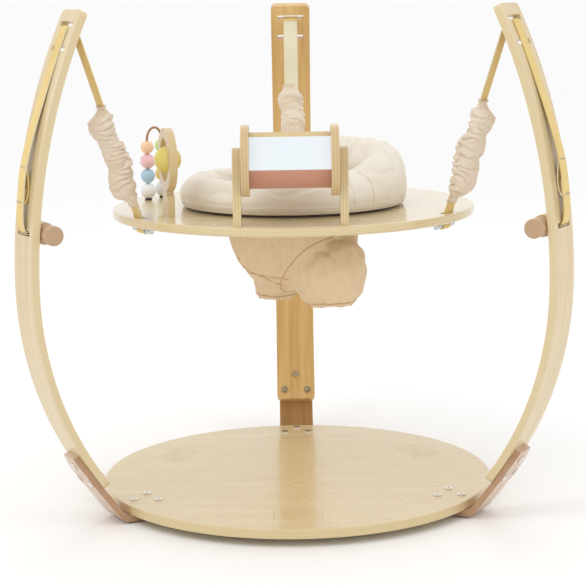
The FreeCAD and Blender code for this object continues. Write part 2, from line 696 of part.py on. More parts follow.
def wire_holes(name):
    """Cutters where the two feet of the bead wire pass through the tray."""
    return [solid("Cylinder", f"{name}_wire_{n}",
                  f"arch_x {side} arch_span / 2 * cos(arch_bearing)",
                  f"arch_y {side} arch_span / 2 * sin(arch_bearing)", "tray_under",
                  Radius="wire_radius", Height="tray_thickness")
            for n, side in enumerate("+-")]


# Seat

def make_seat():
    """Swivel ring, retainer, padded collar, fabric pouch with two leg holes, and a side tab."""
    ring = new_body("seat_ring")
    half = sketch_on(ring, "XZ_Plane")
    flange = "tray_top + seat_float"
    outline(half, [("seat_ring_inner", "tray_under - seat_float"),
                   ("spigot_radius", "tray_under - seat_float"), ("spigot_radius", flange),
                   ("seat_ring_outer", flange), ("seat_ring_outer", f"{flange} + seat_ring_height"),
                   ("seat_ring_inner", f"{flange} + seat_ring_height")])
    revolve(ring, half)
    node(ring, "seat_ring", bearing="back_bearing")

    retainer = new_body("retainer")
    half = sketch_on(retainer, "XZ_Plane")
    block(half, "(seat_ring_inner + retainer_outer) / 2",
          "tray_under - seat_float - retainer_height / 2",
          "(retainer_outer - seat_ring_inner)", "retainer_height")
    revolve(retainer, half)
    node(retainer, "seat_retainer", bearing="back_bearing")

    collar = new_body("collar")
    foot = sketch_on(collar, "XY_Plane", "tray_top + collar_lift")
    circle(foot, "0", "0", "collar_foot")
    brow = sketch_on(collar, "XY_Plane", "tray_top + collar_height", lean="-collar_tilt")
    circle(brow, "0", "0", "collar_brow")
    loft = feature(collar, "AdditiveLoft", foot, "padding")
    loft.Sections = [brow]
    opening = sketch_on(collar, "XY_Plane", "tray_top - overrun")
    circle(opening, "0", "0", "collar_opening")
    pocket(collar, opening, "2 * collar_height", reverse=True)
    tops = value("tray_top + collar_height / 2")
    wide = value("(collar_brow + collar_opening) / 2")

    def is_brow(edge):
        """Tell whether an edge is the outer one of the collar's top."""
        return edge.CenterOfMass.z > tops and edge.BoundBox.XMax > wide \
            and edge.BoundBox.YLength > value("collar_opening")

    def is_mouth(edge):
        """Tell whether an edge is the inner one of the collar's top."""
        return edge.CenterOfMass.z > tops and edge.BoundBox.XMax < wide \
            and edge.BoundBox.XLength > value("collar_opening")

    soften(collar, "Fillet", is_brow, Radius="collar_outer_round")
    soften(collar, "Fillet", is_mouth, Radius="collar_inner_round")
    node(collar, "seat_collar", bearing="back_bearing")

    hollow = pouch_shape("hollow", "pouch_wall", "2 * overrun")
    node(cut("pouch", pouch_shape("cloth", "0", "0"), hollow), "seat_pouch", bearing="back_bearing")
    node(solid("Box", "tab", Length="tab_stand", Width="tab_width", Height="tab_height"),
         "seat_tab", x="collar_foot - tab_seam", y="-tab_width / 2", z="tray_top + tab_lift")


def pouch_shape(name, wall, extra):
    """Bag in two cones with a leg tube out of each side; wall shrinks it, extra runs its ends on."""
    depth = f"(pouch_depth - {wall})"
    mouth = solid("Cone", name + "_mouth", z="tray_top + collar_lift - hip_drop",
                  Radius1=f"pouch_hip - {wall}", Radius2=f"pouch_top - {wall}",
                  Height=f"hip_drop + {extra}")
    hips = solid("Cone", name + "_hips", z=f"tray_top + collar_lift - {depth}",
                 Radius1=f"pouch_waist - {wall}", Radius2=f"pouch_hip - {wall}",
                 Height=f"{depth} - hip_drop")
    legs = [solid("Cylinder", f"{name}_leg_{n}", z="tray_top - leg_drop",
                  turn=((1, 0, 0), f"{way} * (90 + leg_dip)"), Radius=f"leg_radius - {wall}",
                  Height=f"leg_reach + {extra}") for n, way in enumerate((1, -1))]
    return fuse(name, mouth, hips, *legs)


# Toys

def make_drum():
    """Roller drum: two uprights, an axle, two discs, four boards, a mirror and two spacers."""
    half_gap = "drum_gap / 2"
    for side, start in (("left", f"(-{half_gap} - upright_thickness)"), ("right", f"({half_gap})")):
        body = new_body(f"upright_{side}")
        face = sketch_on(body, "YZ_Plane", start)
        half = "upright_width / 2"
        outline(face, [(f"-{half}", "0"), (half, "0"), (half, "drum_axle_height"),
                       (f"-{half}", "drum_axle_height")], {2: (f"{half} + arc_slack", 1)})
        circle(face, "0", "drum_axle_height", "axle_radius")
        pad(body, face, "upright_thickness")
        bores = [solid("Cylinder", f"upright_{side}_bore_{n}", f"{start} + upright_thickness / 2",
                       f"{row} upright_width / 4", "-overrun", Radius="screw_radius",
                       Height="screw_grip + overrun") for n, row in enumerate("+-")]
        node(cut(f"upright_{side}_cut", body, fuse(f"upright_{side}_bores", *bores)),
             f"drum_upright_{side}", x="drum_x", y="drum_y", z="tray_top")

    def on_axle(name, start, length, outer, bore):
        """Disc or spacer square to the axle."""
        body = new_body(name)
        face = sketch_on(body, "YZ_Plane", start)
        circle(face, "0", "0", outer)
        if bore:
            circle(face, "0", "0", bore)
        pad(body, face, length)
        return body

    spot = {"x": "drum_x", "y": "drum_y", "z": "drum_axle_z"}
    disc_end = f"({half_gap} - spacer_thickness)"
    axle_end = f"({half_gap} + upright_thickness)"
    node(on_axle("axle", f"-{axle_end}", f"2 * {axle_end}", "axle_radius", None), "drum_axle", **spot)
    spacers = [on_axle(f"spacer_{n}", start, "spacer_thickness - slip", "spacer_radius", "axle_radius")
               for n, start in enumerate((f"-{half_gap}", f"{disc_end} + slip"))]
    node(group("spacers", spacers), "drum_spacers", **spot)
    for side, start in (("left", f"-{disc_end}"), ("right", f"{disc_end} - disc_thickness")):
        disc = on_axle(f"disc_{side}", start, "disc_thickness", "disc_radius", "axle_radius + slip")
        node(disc, f"drum_disc_{side}", **spot)

    long = f"(2 * ({disc_end} - disc_thickness))"
    inner = "(board_side / 2 - board_thickness)"
    faces = {"front": ("mirror_thickness", 0), "top": ("0", -90), "rear": ("0", -180),
             "bottom": ("0", 90)}
    for name, (recess, turn) in faces.items():
        board = solid("Box", f"board_{name}_flat", f"-{long} / 2", f"{recess} - board_side / 2",
                      "-board_side / 2", Length=long, Width=f"board_thickness - {recess}",
                      Height="board_side - board_thickness")
        node(drum_turned(f"board_{name}", board, turn), f"drum_board_{name}", **spot)
    mirror = solid("Box", "mirror_flat", f"-{long} / 2", "-board_side / 2", "-board_side / 2",
                   Length=long, Width="mirror_thickness", Height="board_side - board_thickness")
    node(drum_turned("mirror", mirror, 0), "drum_mirror", **spot)


def drum_turned(name, piece, turn):
    """Turn a flat drum piece about the axle to its own side of the square."""
    held = group(f"{name}_side", [piece])
    held.Placement.Rotation = FreeCAD.Rotation(FreeCAD.Vector(1, 0, 0), turn - value("drum_turn"))
    return group(name, [held])


def make_ball():
    """Ball that spins on an axle across a flat ring on a stalk."""
    body = new_body("ball_stand")
    face = sketch_on(body, "YZ_Plane", "-ring_thickness / 2")
    circle(face, "0", "ring_height", "ring_outer")
    circle(face, "0", "ring_height", "ring_inner")
    pad(body, face, "ring_thickness")
    stalk = solid("Box", "stalk", "-ring_thickness / 2", "-stalk_width / 2", "0",
                  Length="ring_thickness", Width="stalk_width", Height="stalk_height")
    neck = solid("Box", "neck", "-ring_thickness / 2", "-neck_width / 2", "0",
                 Length="ring_thickness", Width="neck_width",
                 Height="ring_height - (ring_outer + ring_inner) / 2")
    bores = [solid("Cylinder", f"stand_bore_{n}", "0", f"{row} stalk_width / 4", "-overrun",
                   Radius="screw_radius", Height="screw_grip + overrun") for n, row in enumerate("+-")]
    axle_half = "(ring_inner + ball_axle_grip)"
    axle_hole = solid("Cylinder", "stand_axle_hole", "0", axle_half, "ring_height", ((1, 0, 0), "90"),
                      Radius="ball_axle_radius", Height=f"2 * {axle_half}")
    spot = {"x": "ring_x", "y": "ring_y", "bearing": "ring_bearing - 90"}
    blank = fuse("stand_blank", body, stalk, neck)
    node(cut("stand", blank, fuse("stand_tools", axle_hole, *bores)), "ball_stand", z="tray_top",
         **spot)
    axle = solid("Cylinder", "axle_rod", "0", axle_half, "0", ((1, 0, 0), "90"),
                 Radius="ball_axle_radius", Height=f"2 * {axle_half}")
    node(group("ball_axle_held", [axle]), "ball_axle", z="ring_centre_z", **spot)
    ball = cut("ball", solid("Sphere", "ball_blank", Radius="ball_radius"),
               solid("Cylinder", "ball_bore", "0", "ball_radius + overrun", "0", ((1, 0, 0), "90"),
                     Radius="ball_axle_radius + slip", Height="2 * (ball_radius + overrun)"))
    node(ball, "toy_ball", z="ring_centre_z", **spot)


def make_beads():
    """Wire arch with a stack of round beads on each leg and a grommet at each foot."""
    half = "arch_span / 2"
    rise = f"(arch_height - {half} - wire_radius)"
    legs = [solid("Cylinder", f"wire_leg_{n}", x, z="-tray_thickness", Radius="wire_radius",
                  Height=f"tray_thickness + {rise}") for n, x in enumerate((f"-{half}", half))]
    crown = solid("Torus", "wire_crown", z=rise, turn=((1, 0, 0), "90"), Radius1=half,
                  Radius2="wire_radius", Angle3="180")
    place_of = {"x": "arch_x", "y": "arch_y", "bearing": "arch_bearing"}
    node(fuse("wire", *legs, crown), "bead_wire", z="tray_top", **place_of)

    grommets = [cut(f"grommet_{n}",
                    solid("Cylinder", f"grommet_{n}_out", x, Radius="grommet_radius",
                          Height="grommet_height"),
                    solid("Cylinder", f"grommet_{n}_in", x, Radius="wire_radius",
                          Height="grommet_height")) for n, x in enumerate((f"-{half}", half))]
    node(group("grommets", grommets), "wire_grommets", z="tray_top", **place_of)

    for leg, x in (("left", f"-{half}"), ("right", half)):
        foot = "0"
        for name in BEADS[leg]:
            radius = name + "_bead"
            round_bead = solid("Sphere", f"bead_{name}_blank", x, z=f"{foot} + {radius}", Radius=radius)
            bore = solid("Cylinder", f"bead_{name}_bore", x, z=f"{foot} - overrun",
                         Radius="bead_bore", Height=f"2 * ({radius} + overrun)")
            node(cut(f"bead_{name}_cut", round_bead, bore), f"bead_{name}", z="beads_foot",
                 **place_of)
            foot = f"{foot} + 2 * {radius}"


make_base()
for side_name, side_bearing in POSTS.items():
    make_bracket(side_name, side_bearing)
    make_post(side_name, side_bearing)
    make_peg(side_name, side_bearing)
    make_adjusting_strap(side_name, side_bearing)
make_fasteners()
make_pads()
make_hangers()
make_tray()
make_seat()
make_drum()
make_ball()
make_beads()
doc.recompute()

for item in doc.Objects:
    if "Invalid" in item.State or "Error" in item.State:
        raise ValueError(f"{item.Name} did not recompute: {item.State}")
for item in nodes:
    shape = item.Shape
    if shape.isNull() or not shape.isValid() or not shape.Solids:
        raise ValueError(f"{item.Label} has no valid solid")
    shape.exportStep(f"parts/{item.Label}.step")
    box = shape.BoundBox
    print(f"{item.Label:26s} {len(shape.Solids)} solid(s) {shape.Volume / 1000:9.2f} cm3  "
          f"x {box.XMin:.0f}..{box.XMax:.0f} y {box.YMin:.0f}..{box.YMax:.0f} "
          f"z {box.ZMin:.0f}..{box.ZMax:.0f}")
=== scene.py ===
"""Looks of the activity jumper: plywood, webbing, ruched sleeves, padded seat and toys."""

import logging
import math
from dataclasses import dataclass
from enum import Enum
from typing import Sequence

import bmesh
import bpy
import numpy as np
from mathutils import Matrix, Vector, noise
from mathutils.bvhtree import BVHTree


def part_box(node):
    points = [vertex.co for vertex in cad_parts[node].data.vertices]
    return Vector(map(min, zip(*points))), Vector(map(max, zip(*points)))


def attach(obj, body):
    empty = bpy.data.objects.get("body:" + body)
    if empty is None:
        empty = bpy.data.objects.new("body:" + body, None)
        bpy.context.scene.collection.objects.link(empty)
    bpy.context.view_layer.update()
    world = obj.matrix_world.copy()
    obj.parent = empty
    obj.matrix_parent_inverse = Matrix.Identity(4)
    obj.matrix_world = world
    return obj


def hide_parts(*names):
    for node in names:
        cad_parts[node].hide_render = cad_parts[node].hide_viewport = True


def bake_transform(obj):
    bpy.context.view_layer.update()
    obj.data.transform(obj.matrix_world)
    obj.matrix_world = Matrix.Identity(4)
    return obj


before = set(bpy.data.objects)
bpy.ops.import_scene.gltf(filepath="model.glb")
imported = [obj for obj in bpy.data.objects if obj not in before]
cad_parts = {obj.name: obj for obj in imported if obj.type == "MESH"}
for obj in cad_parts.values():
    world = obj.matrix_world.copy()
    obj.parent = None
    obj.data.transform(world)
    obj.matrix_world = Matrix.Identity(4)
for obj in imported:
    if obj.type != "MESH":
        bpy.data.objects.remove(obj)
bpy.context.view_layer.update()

LOG = logging.getLogger("activity_jumper")
MM = 0.001
Triple = tuple[float, float, float]
Path = tuple[tuple[float, float], ...]
Colour = Triple
Socket = bpy.types.NodeSocket
Value = float | Socket
UP = Vector((0, 0, 1))


def linear(red: int, green: int, blue: int) -> Colour:
    """Turn a 0-255 display colour into the linear colour that a shader takes.

    Args:
        red: Red share, 0 to 255.
        green: Green share, 0 to 255.
        blue: Blue share, 0 to 255.

    Returns:
        The same colour, linear, 0 to 1.
    """
    def one(value: int) -> float:
        """Undo the display curve of one channel."""
        share = value / 255
        return share / 12.92 if share <= 0.04045 else ((share + 0.055) / 1.055) ** 2.4
    return one(red), one(green), one(blue)


def shade(colour: Colour, factor: float) -> Colour:
    """Darken or lighten a colour by a factor, and keep it displayable."""
    return tuple(min(1.0, channel * factor) for channel in colour)


def level_way(turn: float) -> Vector:
    """Give the level direction at a bearing in radians."""
    return Vector((math.cos(turn), math.sin(turn), 0))


def corners(piece: bpy.types.Object) -> np.ndarray:
    """Give a piece's corners, one row each."""
    flat = np.empty(len(piece.data.vertices) * 3, np.float32)
    piece.data.vertices.foreach_get("co", flat)
    return flat.reshape(-1, 3).astype(float)


# Site of the jumper: everything hangs round one upright axis

TRAY_LOW, TRAY_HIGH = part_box("tray_disc")
AXIS = Vector(((TRAY_LOW.x + TRAY_HIGH.x) / 2, (TRAY_LOW.y + TRAY_HIGH.y) / 2, 0))
TRAY_TOP = TRAY_HIGH.z


class Post(Enum):
    """The three posts, by the bearing in degrees at which each stands."""

    rear = 90
    front_left = 210
    front_right = 330

    @property
    def away(self) -> Vector:
        """Level direction from the jumper's axis to the post."""
        return level_way(math.radians(self.value))

    @property
    def side(self) -> Vector:
        """Level direction across the post's width."""
        return Vector((-self.away.y, self.away.x, 0))

    def local(self, node: str) -> np.ndarray:
        """Give a CAD node's corners as reach from the axis, side and height.

        Args:
            node: Name of the CAD node.

        Returns:
            One row per corner: reach, side, height.
        """
        points = corners(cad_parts[node]) - np.array(AXIS)
        return np.stack([points @ np.array(self.away), points @ np.array(self.side), points[:, 2]], 1)

    def place(self, reach: float, side: float, height: float) -> Vector:
        """Give the point at a reach, side and height of this post's own axes."""
        return AXIS + self.away * reach + self.side * side + Vector((0, 0, height))


# Shader writing

class Shader:
    """Node tree of one material, written step by step."""

    def __init__(self, name: str) -> None:
        """Start a material with an empty principled surface."""
        self.material = bpy.data.materials.new(name)
        self.material.use_nodes = True
        self.tree = self.material.node_tree
        self.surface = next(n for n in self.tree.nodes if n.type == "BSDF_PRINCIPLED")
        place = self.tree.nodes.new("ShaderNodeTexCoord").outputs
        self.body, self.flat, self.facing = place["Object"], place["UV"], place["Normal"]

    def node(self, kind: str, inputs: dict[str | int, object] | None = None,
             **settings: object) -> bpy.types.Node:
        """Add a node.

        Args:
            kind: Blender's node type, without the ShaderNode prefix.
            inputs: Socket name or number to a number, vector or other socket.
            **settings: Node properties.

        Returns:
            The new node.
        """
        made = self.tree.nodes.new("ShaderNode" + kind)
        for key, value in settings.items():
            setattr(made, key, value)
        for key, value in (inputs or {}).items():
            self.feed(made.inputs[key], value)
        return made

    def feed(self, socket: Socket, value: object) -> None:
        """Link a socket to another one, or set it to a constant."""
        if isinstance(value, Socket):
            self.tree.links.new(value, socket)
        elif isinstance(value, (tuple, Vector)) and len(value) == 3 and len(socket.default_value) == 4:
            socket.default_value = (*value, 1.0)
        else:
            socket.default_value = value

    def maths(self, operation: str, a: Value, b: Value = 0.0, c: Value = 0.0) -> Socket:
        """Combine numbers with one arithmetic operation and give the result."""
        return self.node("Math", {0: a, 1: b, 2: c}, operation=operation).outputs[0]

    def add(self, a: Value, b: Value) -> Socket:
        """Add two numbers."""
        return self.maths("ADD", a, b)

    def less(self, a: Value, b: Value) -> Socket:
        """Take the second number from the first."""
        return self.maths("SUBTRACT", a, b)

    def times(self, a: Value, b: Value) -> Socket:
        """Multiply two numbers."""
        return self.maths("MULTIPLY", a, b)

    def wave(self, value: Value) -> Socket:
        """Give the sine of an angle in radians."""
        return self.maths("SINE", value)

    def size(self, value: Value) -> Socket:
        """Give a number without its sign."""
        return self.maths("ABSOLUTE", value)

    def vectors(self, operation: str, a: object, b: object) -> bpy.types.Node:
        """Combine two vectors and give the node, whose outputs are 0 and Value."""
        return self.node("VectorMath", {0: a, 1: b}, operation=operation)

    def dot(self, a: object, b: object) -> Socket:
        """Give the dot product of two vectors."""
        return self.vectors("DOT_PRODUCT", a, tuple(b)).outputs["Value"]

    def noise(self, at: Socket, scale: float, detail: float = 3.0, rough: float = 0.55,
              bend: float = 0.0) -> Socket:
        """Give cloudy noise, 0 to 1, at a point.

        Args:
            at: Point to read.
            scale: Clouds per unit of length.
            detail: Octaves.
            rough: Weight of the finer octaves.
            bend: How much the clouds are warped.

        Returns:
            The noise value.
        """
        return self.node("TexNoise", {"Vector": at, "Scale": scale, "Detail": detail,
                                      "Roughness": rough, "Distortion": bend}).outputs["Fac"]

    def drawn_noise(self, at: Socket | Sequence[Socket], scales: Triple, detail: float = 3.0,
                    rough: float = 0.55, bend: float = 0.0) -> Socket:
        """Give noise whose clouds are drawn out by a scale of their own in each direction.

        Args:
            at: Point to read, or its three numbers.
            scales: Clouds per unit of length in each direction.
            detail: Octaves.
            rough: Weight of the finer octaves.
            bend: How much the clouds are warped.

        Returns:
            The noise value.
        """
        if isinstance(at, Socket):
            drawn = self.vectors("MULTIPLY", at, scales).outputs[0]
        else:
            parts = {n: self.times(part, scale) for n, (part, scale) in enumerate(zip(at, scales))}
            drawn = self.node("CombineXYZ", parts).outputs[0]
        return self.noise(drawn, 1.0, detail, rough, bend)

    def stretch(self, value: Socket, low: float, high: float, start: float = 0.0,
                end: float = 1.0) -> Socket:
        """Map the span low..high on to start..end, held at both ends."""
        return self.node("MapRange", {"Value": value, "From Min": low, "From Max": high,
                                      "To Min": start, "To Max": end}).outputs["Result"]

    def spread(self, noise_value: Socket, start: float = 0.0, end: float = 1.0) -> Socket:
        """Map the span that noise mostly keeps to on to start..end."""
        return self.stretch(noise_value, 0.3, 0.7, start, end)

    def mix(self, share: Value, a: object, b: object) -> Socket:
        """Mix two colours by a share and give the result."""
        made = self.node("Mix", data_type="RGBA")
        for socket, value in ((made.inputs[0], share), (made.inputs[6], a), (made.inputs[7], b)):
            self.feed(socket, value)
        return made.outputs[2]

    def bump(self, height: Socket, depth: float, strength: float = 1.0,
             under: Socket | None = None) -> Socket:
        """Turn a height, 0 to 1, into a bumped normal.

        Args:
            height: Height map.
            depth: Height in metres of a value of 1.
            strength: Share of the effect.
            under: Normal to bump further.

        Returns:
            The new normal.
        """
        inputs = {"Height": height, "Distance": depth, "Strength": strength}
        if under is not None:
            inputs["Normal"] = under
        return self.node("Bump", inputs).outputs["Normal"]

    def finish(self, **sockets: object) -> bpy.types.Material:
        """Connect or set the principled surface's sockets and give the material.

        Args:
            **sockets: Socket name with _ for a space, to a constant or a socket.

        Returns:
            The finished material.
        """
        for name, value in sockets.items():
            self.feed(self.surface.inputs[name.replace("_", " ")], value)
        return self.material


# Woods

@dataclass(frozen=True)
class BoardGrain:
    """Colours and gloss of a birch plywood face and of its layered edge."""

    light: Colour
    dark: Colour
    ply_light: Colour = linear(238, 222, 182)
    ply_dark: Colour = linear(203, 170, 112)
    roughness: float = 0.34
    coat: float = 0.35
    grain_scale: float = 1.0
    contrast: float = 1.0

    def figure(self, shader: Shader, places: Sequence[Socket]) -> tuple[Socket, Socket]:
        """Write long veneer streaks with slow bands and fine pores.

        Args:
            shader: Shader to write in.
            places: Places across the grain, along it and through the thickness, in metres.

        Returns:
            The colour, and a fine streak height from 0 to 1.
        """
        scale = self.grain_scale
        slow = shader.drawn_noise(places, (15.0 * scale, 1.5 * scale, 15.0 * scale), 2.5, 0.5, 0.7)
        streak = shader.drawn_noise(places, (130.0 * scale, 5.0 * scale, 130.0 * scale), 2.0, 0.5)
        pores = shader.drawn_noise(places, (900.0, 45.0, 900.0), 2.0, 0.5)
        bands = shader.wave(shader.times(slow, 26.0))
        tone = shader.add(shader.times(bands, 0.16 * self.contrast), shader.times(streak, 0.9))
        colour = shader.mix(shader.stretch(tone, 0.20, 0.78), self.dark, self.light)
        fleck = shader.stretch(pores, 0.60, 0.85, 0.0, 0.05 * self.contrast)
        colour = shader.mix(fleck, colour, shade(self.dark, 0.72))
        return colour, shader.maths("MULTIPLY_ADD", pores, 0.15, shader.times(streak, 0.85))

    def layers(self, shader: Shader, deep: Socket, thickness: float, count: int) -> tuple[Socket, Socket]:
        """Write the alternating layers and glue lines of a plywood edge.

        Args:
            shader: Shader to write in.
            deep: Depth below the board's top face, in metres.
            thickness: Thickness of the board, in metres.
            count: Number of layers.

        Returns:
            The colour, and a height from 0 at the glue lines to 1.
        """
        level = shader.add(shader.times(deep, count / thickness),
                           shader.spread(shader.noise(shader.body, 55.0), -0.10, 0.10))
        from_middle = shader.size(shader.less(shader.maths("FRACT", level), 0.5))
        glue = shader.stretch(from_middle, 0.38, 0.49)
        odd = shader.maths("FRACT", shader.times(shader.maths("FLOOR", level), 0.5))
        tone = shader.add(shader.times(odd, 1.1),
                          shader.spread(shader.noise(shader.body, 1400.0, 2.0), -0.12, 0.2))
        colour = shader.mix(tone, self.ply_light, self.ply_dark)
        colour = shader.mix(shader.times(glue, 0.38), colour, shade(self.ply_dark, 0.62))
        return colour, shader.less(1.0, glue)


@dataclass(frozen=True)
class Plywood:
    """Lacquered plywood; each kind says where its faces, grain and layers lie."""

    name: str
    thickness: float
    layers: int
    grain: BoardGrain

    def surface(self, shader: Shader, places: Sequence[Socket], is_face: Socket, relief: "Relief"
                ) -> bpy.types.Material:
        """Write faces and layered edge, with slow darker patches and an uneven lacquer.

        Args:
            shader: Shader to write in.
            places: Places across the grain, along it and through the thickness, in metres.
            is_face: 1 on the faces and 0 on the edges.
            relief: How patchy and how uneven the piece is.

        Returns:
            The finished material.
        """
        face, ridge = self.grain.figure(shader, places)
        edge, steps = self.grain.layers(shader, places[2], self.thickness, self.layers)
        patch = shader.stretch(shader.noise(shader.body, relief.patch_scale), 0.35, 0.7,
                               0.0, relief.patch_share)
        colour = shader.mix(patch, shader.mix(is_face, edge, face), self.grain.dark)
        rough = shader.stretch(shader.noise(shader.body, 38.0, 4.0), 0.25, 0.75,
                               self.grain.roughness - 0.06, self.grain.roughness + 0.08)
        normal = shader.bump(shader.mix(is_face, steps, ridge), relief.depth, relief.strength)
        return shader.finish(Base_Color=colour, Roughness=rough, Coat_Weight=self.grain.coat,
                             Coat_Roughness=0.12, IOR=1.5, Normal=normal)


@dataclass(frozen=True)
class Relief:
    """Size and share of plywood's darker patches, and height and share of its bump."""

    patch_scale: float
    patch_share: float
    depth: float
    strength: float


@dataclass(frozen=True)
class FlatPlywood(Plywood):
    """Plywood board: a level, upright or leaning flat sheet."""

    normal: Triple
    along: Triple
    top: float

    def material(self) -> bpy.types.Material:
        """Write the board's faces and its layered edge.

        Returns:
            The finished material.
        """
        shader = Shader(self.name)
        normal, along = Vector(self.normal).normalized(), Vector(self.along).normalized()
        deep = shader.less(self.top, shader.dot(shader.body, normal))
        places = (shader.dot(shader.body, normal.cross(along)), shader.dot(shader.body, along), deep)
        is_face = shader.stretch(shader.size(shader.dot(shader.facing, normal)), 0.60, 0.86)
        return self.surface(shader, places, is_face, Relief(9.0, 0.14, 0.03 * MM, 0.2))


@dataclass(frozen=True)
class BentPlywood(Plywood):
    """Laminated post or bracket whose layers follow two arcs that meet upright."""

    post: Post
    reach: float
    height: float
    lower_bend: float
    upper_bend: float

    def material(self) -> bpy.types.Material:
        """Write the post's faces, with the grain along its curve, and its layered edges.

        Returns:
            The finished material.
        """
        shader = Shader(self.name)
        away, side = self.post.away, self.post.side
        rise = shader.less(shader.dot(shader.body, UP), self.height)
        reach = shader.less(shader.dot(shader.body, away), AXIS.dot(away))
        upper = shader.maths("GREATER_THAN", rise, 0.0)
        bend = shader.maths("MULTIPLY_ADD", upper, self.upper_bend - self.lower_bend, self.lower_bend)
        level = shader.add(shader.less(reach, self.reach), bend)
        arm = shader.maths("SQRT", shader.add(shader.times(level, level), shader.times(rise, rise)))
        along = shader.times(shader.maths("ARCTAN2", rise, level), bend)
        places = (shader.dot(shader.body, side), along, shader.less(bend, arm))
        is_face = shader.stretch(shader.size(shader.dot(shader.facing, side)), 0.45, 0.75, 1.0, 0.0)
        return self.surface(shader, places, is_face, Relief(7.0, 0.16, 0.05 * MM, 0.35))


@dataclass(frozen=True)
class SolidWood:
    """Sanded solid wood whose rings run round a line along its grain."""

    name: str
    along: Triple
    heart: Triple
    light: Colour
    dark: Colour
    roughness: float = 0.5

    def material(self) -> bpy.types.Material:
        """Write growth rings, long streaks and end-grain specks.

        Returns:
            The finished material.
        """
        shader = Shader(self.name)
        at = shader.vectors("SUBTRACT", shader.body, self.heart).outputs[0]
        along = Vector(self.along).normalized()
        first = along.orthogonal().normalized()
        places = [shader.dot(at, way) for way in (first, along.cross(first), along)]
        bent = shader.drawn_noise(places, (40.0, 40.0, 6.0), 2.0)
        aside = shader.add(places[0], 21 * MM)
        from_heart = shader.maths("SQRT", shader.add(shader.times(aside, aside),
                                                     shader.times(places[1], places[1])))
        rings = shader.wave(shader.add(shader.times(from_heart, 2600.0), shader.times(bent, 9.0)))
        fibre = shader.drawn_noise(places, (700.0, 700.0, 40.0))
        tone = shader.add(shader.stretch(rings, -1.0, 1.0, 0.25, 0.6), shader.spread(fibre, -0.25, 0.35))
        end = shader.size(shader.dot(shader.facing, along))
        colour = shader.mix(shader.stretch(end, 0.75, 0.95, 0.0, 0.35),
                            shader.mix(tone, self.light, self.dark), shade(self.dark, 0.7))
        rough = shader.spread(fibre, self.roughness - 0.07, self.roughness + 0.09)
        return shader.finish(Base_Color=colour, Roughness=rough,
                             Normal=shader.bump(fibre, 0.06 * MM, 0.6))


@dataclass(frozen=True)
class PaintedWood:
    """Satin paint over wood, with a little grain and brush texture showing through."""

    name: str
    colour: Colour
    roughness: float = 0.36
    fibre: Triple = (60.0, 60.0, 600.0)

    def material(self) -> bpy.types.Material:
        """Write the paint film.

        Returns:
            The finished material.
        """
        shader = Shader(self.name)
        lines = shader.drawn_noise(shader.body, self.fibre)
        cloud = shader.noise(shader.body, 60.0)
        peel = shader.noise(shader.body, 900.0, 2.0)
        colour = shader.mix(shader.spread(cloud, 0.0, 0.5), shade(self.colour, 0.95),
                            shade(self.colour, 1.04))
        colour = shader.mix(shader.stretch(lines, 0.58, 0.72, 0.0, 0.10), colour, shade(self.colour, 0.80))
        height = shader.add(shader.times(lines, 0.6), shader.times(peel, 0.4))
        return shader.finish(Base_Color=colour, Coat_Weight=0.15, Coat_Roughness=0.25,
                             Roughness=shader.spread(cloud, self.roughness - 0.05, self.roughness + 0.08),
                             Normal=shader.bump(height, 0.05 * MM, 0.5))


# Metals, rubber and plastic

@dataclass(frozen=True)
class PlatedMetal:
    """Plated or coated metal with fine turning marks and handling haze."""

    name: str
    colour: Colour
    roughness: float
    metallic: float = 1.0
    lines: Triple = (300.0, 300.0, 4000.0)

    def material(self) -> bpy.types.Material:
        """Write the plate.

        Returns:
            The finished material.
        """
        shader = Shader(self.name)
        marks = shader.drawn_noise(shader.body, self.lines)
        haze = shader.noise(shader.body, 120.0, 4.0)
        colour = shader.mix(shader.spread(haze), shade(self.colour, 0.88), self.colour)
        rough = shader.add(shader.spread(haze, self.roughness * 0.7, self.roughness * 1.3),
                           shader.spread(marks, -0.03, 0.05))
        return shader.finish(Base_Color=colour, Metallic=self.metallic, Roughness=rough,
                             Normal=shader.bump(marks, 0.02 * MM, 0.5))


@dataclass(frozen=True)
class MouldedPlastic:
    """Moulded plastic or rubber with a fine spark-eroded texture."""

    name: str
    colour: Colour
    roughness: float = 0.5

    def material(self) -> bpy.types.Material:
        """Write the moulded skin.

        Returns:
            The finished material.
        """
        shader = Shader(self.name)
        skin = shader.noise(shader.body, 1600.0)
        worn = tuple(min(1.0, c * 1.35 + 0.004) for c in self.colour)
        colour = shader.mix(shader.spread(shader.noise(shader.body, 45.0)), self.colour, worn)
        return shader.finish(Base_Color=colour,
                             Roughness=shader.spread(skin, self.roughness - 0.08, self.roughness + 0.1),
                             Normal=shader.bump(skin, 0.04 * MM, 0.7))


@dataclass(frozen=True)
class MirrorSheet:
    """Acrylic mirror sheet with a soft bluish cast and faint rubbing."""

    name: str
    colour: Colour = linear(238, 245, 250)

    def material(self) -> bpy.types.Material:
        """Write the mirror.

        Returns:
            The finished material.
        """
        shader = Shader(self.name)
        rub = shader.drawn_noise(shader.body, (1800.0, 90.0, 90.0))
        cloud = shader.noise(shader.body, 16.0, 2.0)
        colour = shader.mix(shader.spread(cloud), self.colour, shade(self.colour, 0.97))
        return shader.finish(Base_Color=colour, Metallic=0.72, Coat_Weight=0.6, Coat_Roughness=0.04,
                             Roughness=shader.stretch(rub, 0.35, 0.75, 0.10, 0.17),
                             Normal=shader.bump(cloud, 0.15 * MM, 0.15))


# Cloths

class Weave(Enum):
    """How the threads of a cloth cross."""

    plain = "plain"
    ribbed = "ribbed"


